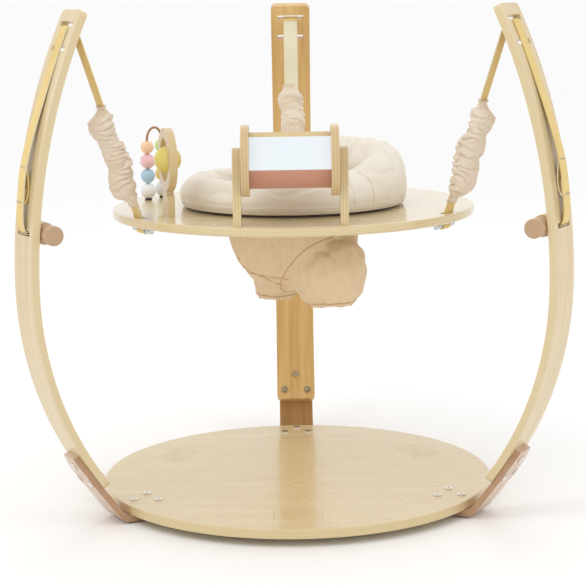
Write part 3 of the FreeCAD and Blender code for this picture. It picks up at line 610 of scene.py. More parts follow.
@dataclass(frozen=True)
class Cloth:
    """Woven cotton whose threads follow the piece's own flat pattern, held in its UV map."""

    name: str
    light: Colour
    dark: Colour
    pitch: float
    depth: float
    weave: Weave = Weave.plain
    sheen: float = 0.35
    roughness: float = 0.86

    def threads(self, shader: Shader) -> Socket:
        """Write the crossing threads.

        Args:
            shader: Shader to write in.

        Returns:
            Thread height, 0 to 1.
        """
        turn = math.tau / self.pitch
        parts = shader.node("SeparateXYZ", {0: shader.flat}).outputs
        wander = shader.spread(shader.noise(shader.flat, 160.0, 2.0), -0.7, 0.7)
        weft_turn = turn * 0.8 if self.weave is Weave.ribbed else turn
        warp = shader.wave(shader.add(shader.times(parts[0], turn), wander))
        weft = shader.wave(shader.add(shader.times(parts[1], weft_turn), wander))
        if self.weave is Weave.ribbed:
            both = shader.add(shader.times(warp, 0.55), shader.times(weft, 0.35))
            return shader.stretch(both, -0.9, 0.9)
        return shader.stretch(shader.times(warp, weft), -1.0, 1.0)

    def material(self) -> bpy.types.Material:
        """Write the weave, slubs and slow colour drift of the cloth, with painted shade between the threads.

        Returns:
            The finished material.
        """
        shader = Shader(self.name)
        threads = self.threads(shader)
        slub = shader.drawn_noise(shader.flat, (60.0, 900.0, 1.0), 2.0)
        cross_slub = shader.drawn_noise(shader.flat, (900.0, 60.0, 1.0), 2.0)
        # The threads term paints shade into the colour: darker in the hollows between threads, the plain
        # light colour on their crowns.
        tone = shader.add(shader.spread(shader.noise(shader.body, 14.0, 4.0), 0.0, 0.55),
                          shader.stretch(threads, 0.0, 1.0, 0.22, -0.08))
        for thick, share in ((slub, 0.35), (cross_slub, 0.25)):
            tone = shader.add(tone, shader.stretch(thick, 0.55, 0.8, 0.0, share))
        height = shader.add(threads, shader.times(shader.add(slub, cross_slub), 0.5))
        crumple = shader.bump(shader.noise(shader.body, 120.0, 4.0, 0.6), 0.9 * MM, 0.22)
        rough = shader.stretch(threads, 0.0, 1.0, self.roughness + 0.06, self.roughness - 0.04)
        return shader.finish(Base_Color=shader.mix(tone, self.light, self.dark), Roughness=rough,
                             Sheen_Weight=self.sheen, Sheen_Roughness=0.45, Specular_IOR_Level=0.25,
                             Normal=shader.bump(height, self.depth, 0.75, crumple))


@dataclass(frozen=True)
class Felt:
    """Dense pressed felt."""

    name: str
    colour: Colour

    def material(self) -> bpy.types.Material:
        """Write matted fibres.

        Returns:
            The finished material.
        """
        shader = Shader(self.name)
        fibres = shader.noise(shader.body, 1900.0, 5.0, 0.7, 2.0)
        share = shader.times(shader.add(fibres, shader.noise(shader.body, 150.0)), 0.5)
        return shader.finish(Base_Color=shader.mix(share, shade(self.colour, 0.6), shade(self.colour, 1.5)),
                             Roughness=shader.spread(fibres, 0.88, 1.0), Sheen_Weight=0.5,
                             Normal=shader.bump(fibres, 0.4 * MM, 0.8))


# Mesh making

def make_mesh(name: str, points: np.ndarray, faces: Sequence[Sequence[int]],
              flat: Sequence[Sequence[tuple[float, float]]] | None = None,
              smooth: bool = True) -> bpy.types.Object:
    """Make an object from points and faces, with an optional flat pattern in metres.

    Args:
        name: Piece name.
        points: One row per corner.
        faces: Corner numbers of each face.
        flat: UV place of each corner of each face.
        smooth: Whether the faces are shaded smooth.

    Returns:
        The new object, linked to the scene.
    """
    mesh = bpy.data.meshes.new(name)
    mesh.from_pydata([tuple(map(float, p)) for p in points], [], [tuple(f) for f in faces])
    if flat is not None:
        layer = mesh.uv_layers.new(name="cloth")
        layer.data.foreach_set("uv", [float(c) for face in flat for pair in face for c in pair])
    mesh.polygons.foreach_set("use_smooth", [smooth] * len(mesh.polygons))
    mesh.update()
    made = bpy.data.objects.new(name, mesh)
    bpy.context.scene.collection.objects.link(made)
    return made


def loft(name: str, rings: np.ndarray, u: np.ndarray, v: np.ndarray,
         closed_ends: bool = False) -> bpy.types.Object:
    """Skin a stack of closed rings that all have the same number of points.

    Args:
        name: Piece name.
        rings: Array of rings, points and coordinates.
        u: Flat place round the ring, one more than its points.
        v: Flat place along the stack, one per ring.
        closed_ends: Whether the first and last ring are capped.

    Returns:
        The new object.
    """
    rows, cols = rings.shape[:2]
    faces, flat = [], []
    for i in range(rows - 1):
        for j in range(cols):
            k = (j + 1) % cols
            faces.append((i * cols + j, i * cols + k, (i + 1) * cols + k, (i + 1) * cols + j))
            flat.append(((u[j], v[i]), (u[j + 1], v[i]), (u[j + 1], v[i + 1]), (u[j], v[i + 1])))
    if closed_ends:
        last = (rows - 1) * cols
        for ring in (list(range(cols))[::-1], list(range(last, last + cols))):
            faces.append(ring)
            flat.append([(u[j], v[0]) for j in range(cols)])
    return make_mesh(name, rings.reshape(-1, 3), faces, flat)


def smooth_line(points: Sequence[Vector], step: float) -> list[Vector]:
    """Run an even line of points through a few guide points.

    Args:
        points: Guide points.
        step: Space between the points of the result.

    Returns:
        Evenly spaced points, the ends included.
    """
    between = 12
    guides = [2 * points[0] - points[1], *points, 2 * points[-1] - points[-2]]
    dense: list[Vector] = []
    for a, b, c, d in zip(guides, guides[1:], guides[2:], guides[3:]):
        for n in range(between):
            t = n / between
            dense.append(0.5 * ((2 * b) + (c - a) * t + (2 * a - 5 * b + 4 * c - d) * t * t
                                + (3 * b - a - 3 * c + d) * t ** 3))
    dense.append(guides[-2])
    lengths = np.concatenate([[0], np.cumsum([(q - p).length for p, q in zip(dense, dense[1:])])])
    count = max(2, int(round(lengths[-1] / step)) + 1)
    wanted = np.linspace(0, lengths[-1], count)
    table = np.array(dense)
    return [Vector([float(np.interp(w, lengths, table[:, k])) for k in range(3)]) for w in wanted]


def dress(piece: bpy.types.Object, *materials: bpy.types.Material) -> bpy.types.Object:
    """Give a piece its materials, replacing any it came with and keeping which face has which."""
    numbers = np.empty(len(piece.data.polygons), np.int32)
    piece.data.polygons.foreach_get("material_index", numbers)
    piece.data.materials.clear()
    for material in materials:
        piece.data.materials.append(material)
    piece.data.polygons.foreach_set("material_index", np.minimum(numbers, len(materials) - 1))
    return piece


def dress_node(node: str, material: bpy.types.Material) -> None:
    """Give a carried-over CAD node its finish through its object's material slots."""
    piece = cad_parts[node]
    if not piece.material_slots:
        piece.data.materials.append(material)
    for slot in piece.material_slots:
        slot.link = "OBJECT"
        slot.material = material


def tube(name: str, line: Sequence[Vector], radius: float, sides: int = 10,
         loop: bool = False) -> bpy.types.Object:
    """Make a round cord of even thickness along a line.

    Args:
        name: Piece name.
        line: Points of its centre line.
        radius: Its radius.
        sides: Points round it.
        loop: Whether the line closes on itself.

    Returns:
        The new object.
    """
    count = len(line)
    rings, lean = [], Vector((0.13, 0.27, 1.0))
    for n, p in enumerate(line):
        ahead = line[(n + 1) % count] if loop or n < count - 1 else p
        behind = line[n - 1] if loop or n > 0 else p
        tangent = (ahead - behind).normalized()
        first = (lean - tangent * lean.dot(tangent)).normalized()
        second = tangent.cross(first)
        lean = first
        rings.append([p + radius * (math.cos(a) * first + math.sin(a) * second)
                      for a in np.linspace(0, math.tau, sides, endpoint=False)])
    if loop:
        rings.append(rings[0])
    return loft(name, np.array(rings), np.linspace(0, math.tau * radius, sides + 1),
                np.linspace(0, 1, len(rings)), closed_ends=not loop)


def join(name: str, pieces: Sequence[bpy.types.Object]) -> bpy.types.Object:
    """Join several objects into one and name it."""
    with bpy.context.temp_override(active_object=pieces[0], selected_editable_objects=list(pieces),
                                   selected_objects=list(pieces), object=pieces[0]):
        bpy.ops.object.join()
    pieces[0].name = pieces[0].data.name = name
    return pieces[0]


def apply_modifiers(piece: bpy.types.Object) -> None:
    """Work a piece's modifiers into its mesh for good."""
    graph = bpy.context.evaluated_depsgraph_get()
    mesh = bpy.data.meshes.new_from_object(piece.evaluated_get(graph), depsgraph=graph)
    piece.modifiers.clear()
    old = piece.data
    piece.data = mesh
    mesh.name = piece.name
    bpy.data.meshes.remove(old)


def set_corners(piece: bpy.types.Object, points: np.ndarray) -> None:
    """Move a piece's corners."""
    piece.data.vertices.foreach_set("co", points.astype(np.float32).ravel())
    piece.data.update()


def relax_cloth(piece: bpy.types.Object, held: np.ndarray, pressure: float, cap: float,
                weight: float = 0.0, stiffness: float = 8.0) -> None:
    """Let cloth settle into natural folds and keep the result.

    Args:
        piece: The cloth, as its sewn shape.
        held: Share, 0 to 1, by which each corner is held in place.
        pressure: Air pressure inside.
        cap: Furthest a corner may move, in metres.
        weight: Share of gravity.
        stiffness: Resistance to stretching.
    """
    frames, growth = 22, 0.05
    start = corners(piece)
    group = piece.vertex_groups.new(name="held")
    for n, share in enumerate(held):
        if share > 0:
            group.add([n], float(share), "REPLACE")
    cloth = piece.modifiers.new("settle", "CLOTH")
    cloth.settings.effector_weights.gravity = weight
    rules = {"quality": 6, "mass": 0.25, "tension_stiffness": stiffness, "compression_stiffness": stiffness,
             "shear_stiffness": stiffness * 0.6, "bending_stiffness": 0.35, "air_damping": 3.0,
             "vertex_group_mass": "held", "shrink_min": -growth, "use_pressure": True,
             "uniform_pressure_force": pressure}
    for rule, value in rules.items():
        setattr(cloth.settings, rule, value)
    cloth.collision_settings.use_collision = False
    cloth.collision_settings.use_self_collision = False
    cloth.point_cache.frame_start = 1
    cloth.point_cache.frame_end = frames
    scene = bpy.context.scene
    for n in range(1, frames + 1):
        scene.frame_set(n)
    apply_modifiers(piece)
    scene.frame_set(1)
    moved = corners(piece) - start
    far = np.linalg.norm(moved, axis=1, keepdims=True)
    moved *= np.minimum(1.0, cap / np.maximum(far, 1e-9))
    set_corners(piece, start + moved)
    piece.vertex_groups.clear()


def subdivide(piece: bpy.types.Object) -> None:
    """Smooth and refine a piece's surface for good."""
    finer = piece.modifiers.new("finer", "SUBSURF")
    finer.levels = finer.render_levels = 1
    apply_modifiers(piece)
    shade_smooth(piece)


def shade_smooth(piece: bpy.types.Object) -> None:
    """Shade all of a piece's faces smooth."""
    piece.data.polygons.foreach_set("use_smooth", [True] * len(piece.data.polygons))


def thicken(piece: bpy.types.Object, thickness: float) -> None:
    """Give a single layer of cloth its thickness, inward."""
    skin = piece.modifiers.new("skin", "SOLIDIFY")
    skin.thickness, skin.offset = thickness, -1.0
    apply_modifiers(piece)


def surface_tree(piece: bpy.types.Object) -> BVHTree:
    """Give a piece's surface for looking up points on it."""
    return BVHTree.FromObject(piece, bpy.context.evaluated_depsgraph_get())


def vertex_normals(piece: bpy.types.Object) -> np.ndarray:
    """Give the outward direction at each of a piece's corners."""
    return np.array([v.normal for v in piece.data.vertices])


def run_lengths(points: Sequence[Sequence[float]]) -> np.ndarray:
    """Give how far along a line each of its points lies, from 0 at the first."""
    return np.concatenate([[0], np.cumsum([math.dist(a, b) for a, b in zip(points, points[1:])])])


def slope_point(start: Vector, ahead: Vector, height: float) -> Vector:
    """Give where a falling line through a point comes to a height."""
    return start + ahead * ((start.z - height) / -ahead.z)


def smooth_step(share: np.ndarray) -> np.ndarray:
    """Ease a share, 0 to 1, in and out."""
    return share * share * (3 - 2 * share)


def around_seat(points: np.ndarray) -> tuple[np.ndarray, np.ndarray, np.ndarray]:
    """Give points from the middle of the tray's top, with each one's radius and bearing."""
    flat = points - np.array([AXIS.x, AXIS.y, TRAY_TOP])
    return flat, np.hypot(flat[:, 0], flat[:, 1]), np.arctan2(flat[:, 1], flat[:, 0])


def wavy(values: np.ndarray, seed: float, size: float) -> np.ndarray:
    """Give smooth noise, -1 to 1, for rows of points.

    Args:
        values: Points, one row each.
        seed: Which pattern.
        size: Size of its waves, in the units of the points.

    Returns:
        One number per point.
    """
    shift = Vector((seed * 3.1, seed * 1.7, seed * 5.3))
    flat = values.reshape(-1, values.shape[-1])
    found = [noise.noise(Vector(p) / size + shift) for p in flat]
    return np.array(found).reshape(values.shape[:-1])


# Flat webbing

@dataclass(frozen=True)
class Webbing:
    """Flat woven cotton strap, creamy on one face and golden on the other."""

    width: float = 25 * MM
    thickness: float = 1.8 * MM

    def strip(self, name: str, line: Sequence[Vector], across: Vector, face_up: bool,
              width: float | None = None) -> bpy.types.Object:
        """Lay a strap along a line.

        Args:
            name: Piece name.
            line: Its centre line.
            across: Direction of its width.
            face_up: Whether the creamy face lies on the side of line direction x across.
            width: Width, where it differs.

        Returns:
            The strap, undressed, with a material number for each face.
        """
        half, thick = (width or self.width) / 2, self.thickness / 2
        flank = [(n * (half - thick * 0.5), thick * (1 - 0.06 * math.cos(n * 9.4)))
                 for n in np.linspace(-1, 1, 9)]
        section = [*flank, (half, 0.0), *((x, -z) for x, z in reversed(flank)), (-half, 0.0)]
        rings = []
        for n, p in enumerate(line):
            ahead, behind = line[min(n + 1, len(line) - 1)], line[max(n - 1, 0)]
            up = (ahead - behind).normalized().cross(across).normalized()
            fuzz = 0.12 * MM * noise.noise(p * 90)
            rings.append([p + across * (x * (1 + fuzz / half)) + up * z for x, z in section])
        made = loft(name, np.array(rings), run_lengths([*section, section[0]]), run_lengths(line),
                    closed_ends=True)
        sides = len(section)
        made.data.polygons.foreach_set("material_index", [
            int((polygon.index % sides < sides // 2) != face_up) for polygon in made.data.polygons])
        return made


@dataclass(frozen=True)
class PostCurve:
    """The two arcs of a post, measured along its outer face."""

    lower_bend: float = 535 * MM
    upper_bend: float = 945 * MM
    thickness: float = 12 * MM
    foot_height: float = 63 * MM
    foot_angle: float = 37.0
    reach: float = float(Post.rear.local("post_rear")[:, 0].max())

    @property
    def height(self) -> float:
        """Height of the widest point above the floor."""
        return self.foot_height + self.lower_bend * math.sin(math.radians(self.foot_angle))

    def spot(self, post: Post, off: float, angle: float, side: float = 0.0) -> Vector:
        """Give a point near the upper arc.

        Args:
            post: Which post.
            off: Distance outside the outer face.
            angle: Angle above the widest point, in degrees.
            side: Distance to the side.

        Returns:
            The point.
        """
        arm, turn = self.upper_bend + off, math.radians(angle)
        return post.place(self.reach - self.upper_bend + arm * math.cos(turn), side,
                          self.height + arm * math.sin(turn))

    def angle(self, run: float) -> float:
        """Turn a run along the upper arc's outer face into an angle."""
        return math.degrees(run / self.upper_bend)


@dataclass
class Hangers:
    """Webbing on the back of each post and down to its ruched sleeve, with stitched ends.

    Each path below is a row of places on the post's upper arc: millimetres outside the outer face, and
    degrees from the peg or, over the slot, from the slot's middle.
    """

    curve: PostCurve
    webbing: Webbing
    peg_angle: float = 5.2
    turn_angle: float = 24.39
    peg_radius: float = 15 * MM
    up_the_post: Path = ((1.2, 0.14), (4.2, 0.45), (6.4, 1.0), (8.2, 2.2), (9.6, 4.2), (9.9, 6.0),
                         (7.6, 8.2), (4.9, 10.4), (2.4, 13.0), (1.4, 15.4), (1.3, 17.6))
    over_the_slot: Path = ((0.6, -0.09), (-1.6, 0.0), (-6.0, 0.0), (-10.4, 0.0), (-12.6, -0.06),
                           (-13.3, -0.14))
    leaf: Path = ((8.4, 5.8), (6.3, 5.3), (3.0, 4.6), (1.6, 3.9), (2.2, 3.2), (4.6, 2.75), (6.2, 2.6),
                  (7.0, 2.8), (7.4, 3.4), (7.6, 4.0))
    tacks: Path = ((9.9, 5.9), (9.2, 2.75))

    def along_post(self, post: Post, path: Path, start: float) -> list[Vector]:
        """Give a path's points on a post, its angles counted from a start angle in degrees."""
        return [self.curve.spot(post, off * MM, start + run) for off, run in path]

    def back_strap(self, post: Post) -> list[bpy.types.Object]:
        """Lay the strap from its loop round the peg up the back of the post and over the top slot.

        Args:
            post: Which post.

        Returns:
            The strap, its inner leaf loop and its seams.
        """
        curve, peg, web = self.curve, self.peg_angle, self.webbing
        peg_arm = -(curve.thickness + 0.4 * MM + self.peg_radius + 1.9 * MM)
        around = self.peg_radius + 0.08 * MM + web.thickness / 2
        centre = curve.spot(post, peg_arm, peg)
        out = (curve.spot(post, 0, peg) - centre).normalized()
        up = (curve.spot(post, peg_arm, peg + 1) - centre).normalized()
        up = (up - out * up.dot(out)).normalized()
        near, end = centre + out * (around * 0.97), centre + out * (30 * MM)
        guides = [end + up * (-1.2 * MM), near + up * (-3.5 * MM)]
        for turn in np.radians(range(-24, -337, -13)):
            guides.append(centre + around * (math.cos(turn) * out + math.sin(turn) * up))
        guides += [near + up * (3.5 * MM), end + up * (1.6 * MM)]
        guides += self.along_post(post, self.up_the_post, peg)
        guides += [curve.spot(post, 1.3 * MM, a) for a in np.arange(peg + 18.0, 24.0, 0.8)]
        guides += self.along_post(post, self.over_the_slot, self.turn_angle)
        strap = web.strip(f"back_webbing_{post.name}", smooth_line(guides, 2.2 * MM), post.side, True)
        leaf = smooth_line(self.along_post(post, self.leaf, peg), 2.0 * MM)
        loop = web.strip(f"leaf_loop_{post.name}", leaf, post.side, False, web.width - 1.5 * MM)
        seams = [self.bar_tack(post, f"strap_tack_{post.name}_{n}", off * MM, peg + run)
                 for n, (off, run) in enumerate(self.tacks)]
        return [strap, loop, *seams]

    def bar_tack(self, post: Post, name: str, off: float, angle: float) -> bpy.types.Object:
        """Sew a dense zigzag of thread across the strap.

        Args:
            post: Which post.
            name: Piece name.
            off: Distance of the strap's middle outside the post.
            angle: Where along the post.

        Returns:
            The thread.
        """
        line, stabs, half_stitch = [], 36, 0.055
        for n in range(stabs + 1):
            side = (n / stabs - 0.5) * (self.webbing.width - 3 * MM)
            run = half_stitch * (1 if n % 2 else -1)
            line.append(self.curve.spot(post, off + 1.05 * MM, angle + run, side))
        return tube(name, line, 0.28 * MM, 6)

    def hanging_line(self, post: Post) -> tuple[Vector, Vector]:
        """Give where the hanging strap leaves the post and where it meets the tray.

        Args:
            post: Which post.

        Returns:
            The upper and the lower end of the straight strap.
        """
        strap = post.local(f"hanger_strap_{post.name}")
        heights = strap[:, 2]
        upper, lower = (post.place(float(end[:, 0].mean()), 0, float(end[:, 2].mean())) for end in (
            strap[heights > heights.max() - 2 * MM], strap[heights < heights.min() + 2 * MM]))
        return upper, slope_point(lower, (lower - upper).normalized(), TRAY_TOP)

    def hanging_strap(self, post: Post) -> bpy.types.Object:
        """Hang the upper strap from the top slot into the mouth of the sleeve.

        Args:
            post: Which post.

        Returns:
            The strap.
        """
        upper, foot = self.hanging_line(post)
        ahead = (foot - upper).normalized()
        start = self.along_post(post, self.over_the_slot, self.turn_angle)[-1]
        last = slope_point(upper, ahead, post.local(f"hanger_strap_{post.name}")[:, 2].min())
        straight = upper + ahead * (12 * MM)
        guides = [start, start.lerp(straight, 0.5), straight, upper + ahead * (30 * MM), last]
        return self.webbing.strip(f"hanging_webbing_{post.name}", smooth_line(guides, 3 * MM),
                                  post.side, False)

    def lower_strap(self, post: Post) -> bpy.types.Object:
        """Lay the lower strap out of the sleeve, through the tray slot and round its stop bar.

        Args:
            post: Which post.

        Returns:
            The strap.
        """
        upper, foot = self.hanging_line(post)
        ahead = (foot - upper).normalized()
        bar = post.local("strap_stop_bars")
        bar = bar[(np.abs(bar[:, 1]) < 50 * MM) & (bar[:, 0] > 0)]
        low, high = bar.min(0), bar.max(0)
        middle = post.place(float(low[0] + high[0]) / 2, 0, float(low[2] + high[2]) / 2)
        around = float(high[2] - low[2]) / 2 + self.webbing.thickness / 2 + 0.05 * MM
        out = ahead.cross(post.side).normalized()
        down = [foot - ahead * (34 * MM), foot - ahead * (12 * MM), foot + ahead * (6 * MM)]
        apart = [0.9 * MM, 0.9 * MM, 1.2 * MM]
        guides = [p - out * gap for p, gap in zip(down, apart)]
        for turn in np.radians(range(150, -151, -15)):
            guides.append(middle + around * (math.cos(turn) * ahead - math.sin(turn) * out))
        guides += [p + out * gap for p, gap in zip(reversed(down), reversed(apart))]
        return self.webbing.strip(f"lower_webbing_{post.name}", smooth_line(guides, 1.6 * MM),
                                  post.side, True)

    def build(self, materials: dict[str, bpy.types.Material]) -> None:
        """Make, dress and place every strap.

        Args:
            materials: Finished materials by name.
        """
        both = (materials["webbing_cream"], materials["webbing_gold"])
        for post in Post:
            strap, *extras = self.back_strap(post)
            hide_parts(f"adjusting_strap_{post.name}")
            for piece in (strap, *extras):
                dress(piece, *both)
                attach(piece, "frame")
            hanging = dress(self.hanging_strap(post), *both)
            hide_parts(f"hanger_strap_{post.name}")
            upper, foot = self.hanging_line(post)
            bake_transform(hanging)
            lower = dress(self.lower_strap(post), *both)
            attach(lower, "tray")
            if post is Post.rear:
                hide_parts("tray_strap_ends")
            LOG.info("straps of the %s post", post.name)


# Ruched sleeves

@dataclass
class RuchedSleeve:
    """Cotton tube gathered along one seam over the elastic, in soft puffs with tight puckers."""

    post: Post
    seam: float
    seed: float
    rows: int = 230
    columns: int = 120
    gather: float = 1.35
    girth: float = 118 * MM
    slim: tuple[float, float] = (13.2 * MM, 4.6 * MM)
    full: tuple[float, float] = (21.2 * MM, 19.0 * MM)

    def half_widths(self, s: np.ndarray) -> list[np.ndarray]:
        """Give the tube's half width and half depth along its length.

        Args:
            s: Places along the sleeve, 0 to 1.

        Returns:
            Half widths across the webbing, and half depths through it.
        """
        ease = smooth_step(np.clip(np.minimum((s - 0.03) / 0.10, (0.97 - s) / 0.13), 0, 1))
        belly = 1 + 0.12 * np.sin(s * math.tau * 1.3 + self.seed) + 0.06 * np.sin(s * 17 + self.seed * 2)
        return [slim + (full - slim) * ease * belly for slim, full in zip(self.slim, self.full)]

    def slack(self, s: np.ndarray) -> np.ndarray:
        """Give how far the sleeve's middle hangs outward of the strap along its length."""
        ends = np.clip(np.minimum(s / 0.13, (1 - s) / 0.13), 0, 1)
        return ends * (5.2 + 3.4 * np.cos(math.tau * (s - 0.20) / 0.62)) * MM

    def folds(self, turn: np.ndarray, run: np.ndarray) -> np.ndarray:
        """Give how far the cloth stands out or tucks in.

        Args:
            turn: Angle round the tube from the seam, -pi to pi.
            run: Distance along the tube, in metres.

        Returns:
            Height in metres.
        """
        def round_tube(radius: float, along: np.ndarray) -> np.ndarray:
            """Give the corners as points on a tube of another radius."""
            return np.stack([np.cos(turn) * radius, np.sin(turn) * radius, along], -1)

        points = round_tube(16 * MM, run)
        drift = wavy(points, self.seed, 22 * MM)
        bend = run + 6 * MM * np.sin(turn + self.seed) + 8 * MM * drift
        puff = np.abs(np.sin(math.pi * bend / (47 * MM))) ** 0.55
        drawn = round_tube(5.5 * MM, run + 7 * MM * drift)
        crease = 1 - np.abs(wavy(drawn, self.seed + 7, 9.5 * MM))
        tight = 1 - np.abs(wavy(drawn, self.seed + 12, 5 * MM))
        away = 0.5 - 0.5 * np.cos(turn)
        at_seam, near, wide = (np.exp(-(turn / spread) ** 2) for spread in (0.13, 0.85, 1.9))
        height = 5.0 * (puff - 0.75) * (0.45 + 0.55 * away)
        height -= 6.2 * (crease ** 6 - 0.28) * (0.22 + 0.78 * wide)
        height -= 3.6 * (tight ** 4 - 0.35) * near
        height += 0.7 * wavy(points, self.seed + 4, 7 * MM) - 4.0 * at_seam
        return height * MM

    def build(self, hangers: Hangers, materials: dict[str, bpy.types.Material]) -> bpy.types.Object:
        """Make, dress and place the sleeve.

        Args:
            hangers: The straps that run through it.
            materials: Finished materials by name.

        Returns:
            The sleeve.
        """
        solid = self.post.local(f"gathered_sleeve_{self.post.name}")
        upper, foot = hangers.hanging_line(self.post)
        ahead = (foot - upper).normalized()
        out = ahead.cross(self.post.side).normalized()
        top = slope_point(upper, ahead, float(solid[:, 2].max()) - 4 * MM)
        low = slope_point(upper, ahead, float(solid[:, 2].min()) + 4 * MM)
        length = (low - top).length
        s = np.linspace(0, 1, self.rows)
        turn, run = np.meshgrid(np.linspace(-math.pi, math.pi, self.columns, endpoint=False), s * length)
        wide, deep = (half[:, None] for half in self.half_widths(s))
        ease = np.clip(np.minimum(s / 0.07, (1 - s) / 0.07), 0.12, 1)[:, None]
        frill = 2.2 * MM * np.clip(1 - np.minimum(s, 1 - s) / 0.035, 0, 1)[:, None] * np.sin(
            turn * 9 + 1.5 * np.sin(turn * 2 + self.seed))
        height = self.folds(turn, run) * ease + frill
        sway = 2.2 * MM * np.sin(s * 9.0 + self.seed)[:, None]
        x = (wide + height) * np.cos(turn + self.seam) + sway
        y = (deep + height) * np.sin(turn + self.seam) + self.slack(s)[:, None]
        slip = 1.6 * MM * ease * wavy(np.stack([np.cos(turn), np.sin(turn), run / (12 * MM)], -1),
                                      self.seed + 9, 0.9)
        rings = np.array(top) + np.multiply.outer(run + slip, np.array(ahead)) \
            + np.multiply.outer(x, np.array(self.post.side)) + np.multiply.outer(y, np.array(out))
        sleeve = loft(f"ruched_sleeve_{self.post.name}", rings,
                      np.linspace(0, self.girth, self.columns + 1), s * length * self.gather)
        thicken(sleeve, 0.7 * MM)
        shade_smooth(sleeve)
        dress(sleeve, materials["sleeve_cotton"])
        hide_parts(f"gathered_sleeve_{self.post.name}")
        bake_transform(sleeve)
        return sleeve


# Padded seat

@dataclass
class Seat:
    """Padded collar, higher at the child's back, and the cloth bag with two leg holes below it."""

    back: float = 45.0
    foot: float = 181 * MM
    brow: float = 172 * MM
    high: float = 99 * MM
    low: float = 57 * MM
    high_side: float = 31.0
    mouth: float = 111 * MM
    lift: float = 2.8 * MM
    hip: float = 106 * MM
    waist: float = 60 * MM
    leg_drop: float = 62 * MM
    pattern_radius: float = 85 * MM
    mouth_radius: float = 108.5 * MM
    puffed_cuff: tuple[tuple[float, float, float, float], ...] = (
        (0, 0, 22, 45), (35, 12, 24, 56), (62, 22, 32, 62.5), (85, 35, 48, 65), (90.5, 52, 64, 62.5),
        (92, 66, 74, 56.5), (92.5, 78, 79, 47), (92.8, 87, 83, 35), (93, 92, 86, 25), (93, 94, 87, 24))
    limp_cuff: tuple[tuple[float, float, float, float], ...] = (
        (0, 0, 40, 36), (20, 18, 48, 42), (32, 36, 60, 43), (38, 54, 70, 40), (41, 70, 78, 36),
        (43, 84, 82, 31), (43.5, 92, 86, 23), (43.5, 95, 87, 22))
    around: int = 288

    def crown(self, bearing: np.ndarray) -> np.ndarray:
        """Give the collar's height at a bearing in radians: high behind the child, low in front."""
        off = np.abs((np.degrees(bearing) - self.high_side + 180) % 360 - 180)
        return self.low + (self.high - self.low) * smooth_step(np.clip((112 - off) / 84, 0, 1))

    def collar_profile(self, top: float) -> np.ndarray:
        """Give the collar's section at one bearing, from its inner foot over the top to the outer.

        Args:
            top: Height of the section.

        Returns:
            Rows of radius and height above the tray.
        """
        low = self.lift
        guides = [(self.mouth + 0.0015, low - 0.0005), (self.mouth + 0.0002, low + 0.014),
                  (self.mouth + 0.0012, top * 0.45), (self.mouth + 0.006, top * 0.72),
                  (self.mouth + 0.0175, top * 0.925), (self.mouth + 0.033, top * 0.995),
                  (self.brow - 0.022, top * 0.955), (self.brow - 0.006, top * 0.80),
                  (self.brow + 0.0035, top * 0.56), (self.foot - 0.0015, top * 0.30),
                  (self.foot + 0.0005, low + 0.0125), (self.foot - 0.0008, low + 0.004),
                  (self.foot - 0.008, low + 0.0003), (self.foot - 0.03, low), (self.mouth + 0.03, low),
                  (self.mouth + 0.006, low)]
        line = smooth_line([Vector((r, z, 0)) for r, z in guides], 3.4 * MM)
        return np.array([(p.x, p.y) for p in line])

    def collar(self) -> bpy.types.Object:
        """Sew the padded collar and let it settle.

        Returns:
            The collar, undressed.
        """
        bearings = np.linspace(0, math.tau, self.around, endpoint=False)
        count, rings = 72, []
        for bearing, top in zip(bearings, self.crown(bearings)):
            line = self.collar_profile(float(top))
            run = run_lengths(line)
            at = np.linspace(0, run[-1], count)
            r, z = np.interp(at, run, line[:, 0]), np.interp(at, run, line[:, 1])
            rings.append(np.stack([r * math.cos(bearing) + AXIS.x, r * math.sin(bearing) + AXIS.y,
                                   z + TRAY_TOP], 1))
        table = np.array([*rings, rings[0]])
        collar = loft("seat_collar_pad", table, np.linspace(0, 0.24, count + 1),
                      np.linspace(0, math.tau * 0.15, len(table)))
        weld = bmesh.new()
        weld.from_mesh(collar.data)
        bmesh.ops.remove_doubles(weld, verts=weld.verts, dist=1e-6)
        bmesh.ops.recalc_face_normals(weld, faces=weld.faces)
        weld.to_mesh(collar.data)
        weld.free()
        points = corners(collar)
        flat, radius, turn = around_seat(points)
        z = flat[:, 2]
        share = np.clip(z / self.crown(turn), 0, 1)
        soft = 3 * MM * wavy(points, 5.0, 60 * MM)
        set_corners(collar, points + vertex_normals(collar) * (soft * share)[:, None])
        sewn_down = (z < self.lift + 6 * MM) | ((radius < self.mouth + 4 * MM) & (z < 30 * MM))
        relax_cloth(collar, np.where(sewn_down, 1.0, 0.0), pressure=1.4, cap=7 * MM)
        self.wrinkle(collar)
        subdivide(collar)
        return collar

    def wrinkle(self, collar: bpy.types.Object) -> None:
        """Press the settled collar's creases: pleats at the mouth, hollows and a fold above the foot.

        Args:
            collar: The settled collar.
        """
        points = corners(collar)
        flat, radius, turn = around_seat(points)
        z, round_x, round_y = flat[:, 2], np.cos(turn), np.sin(turn)
        share = np.clip(z / self.crown(turn), 0, 1)
        inward = np.clip((0.166 - radius) / 0.03, 0, 1) * np.clip(share * 1.5 - 0.2, 0, 1)
        upper = np.clip(share * 1.8 - 0.5, 0, 1)
        outer = np.clip((radius - 0.165) / 0.008, 0, 1)
        swirl = 0.25 * wavy(flat, 17.0, 0.05)

        def crease(points_at: np.ndarray, seed: float, size: float) -> np.ndarray:
            """Give sharp lines of height 1 where smooth noise changes sign."""
            return 1 - np.abs(wavy(points_at, seed, size))

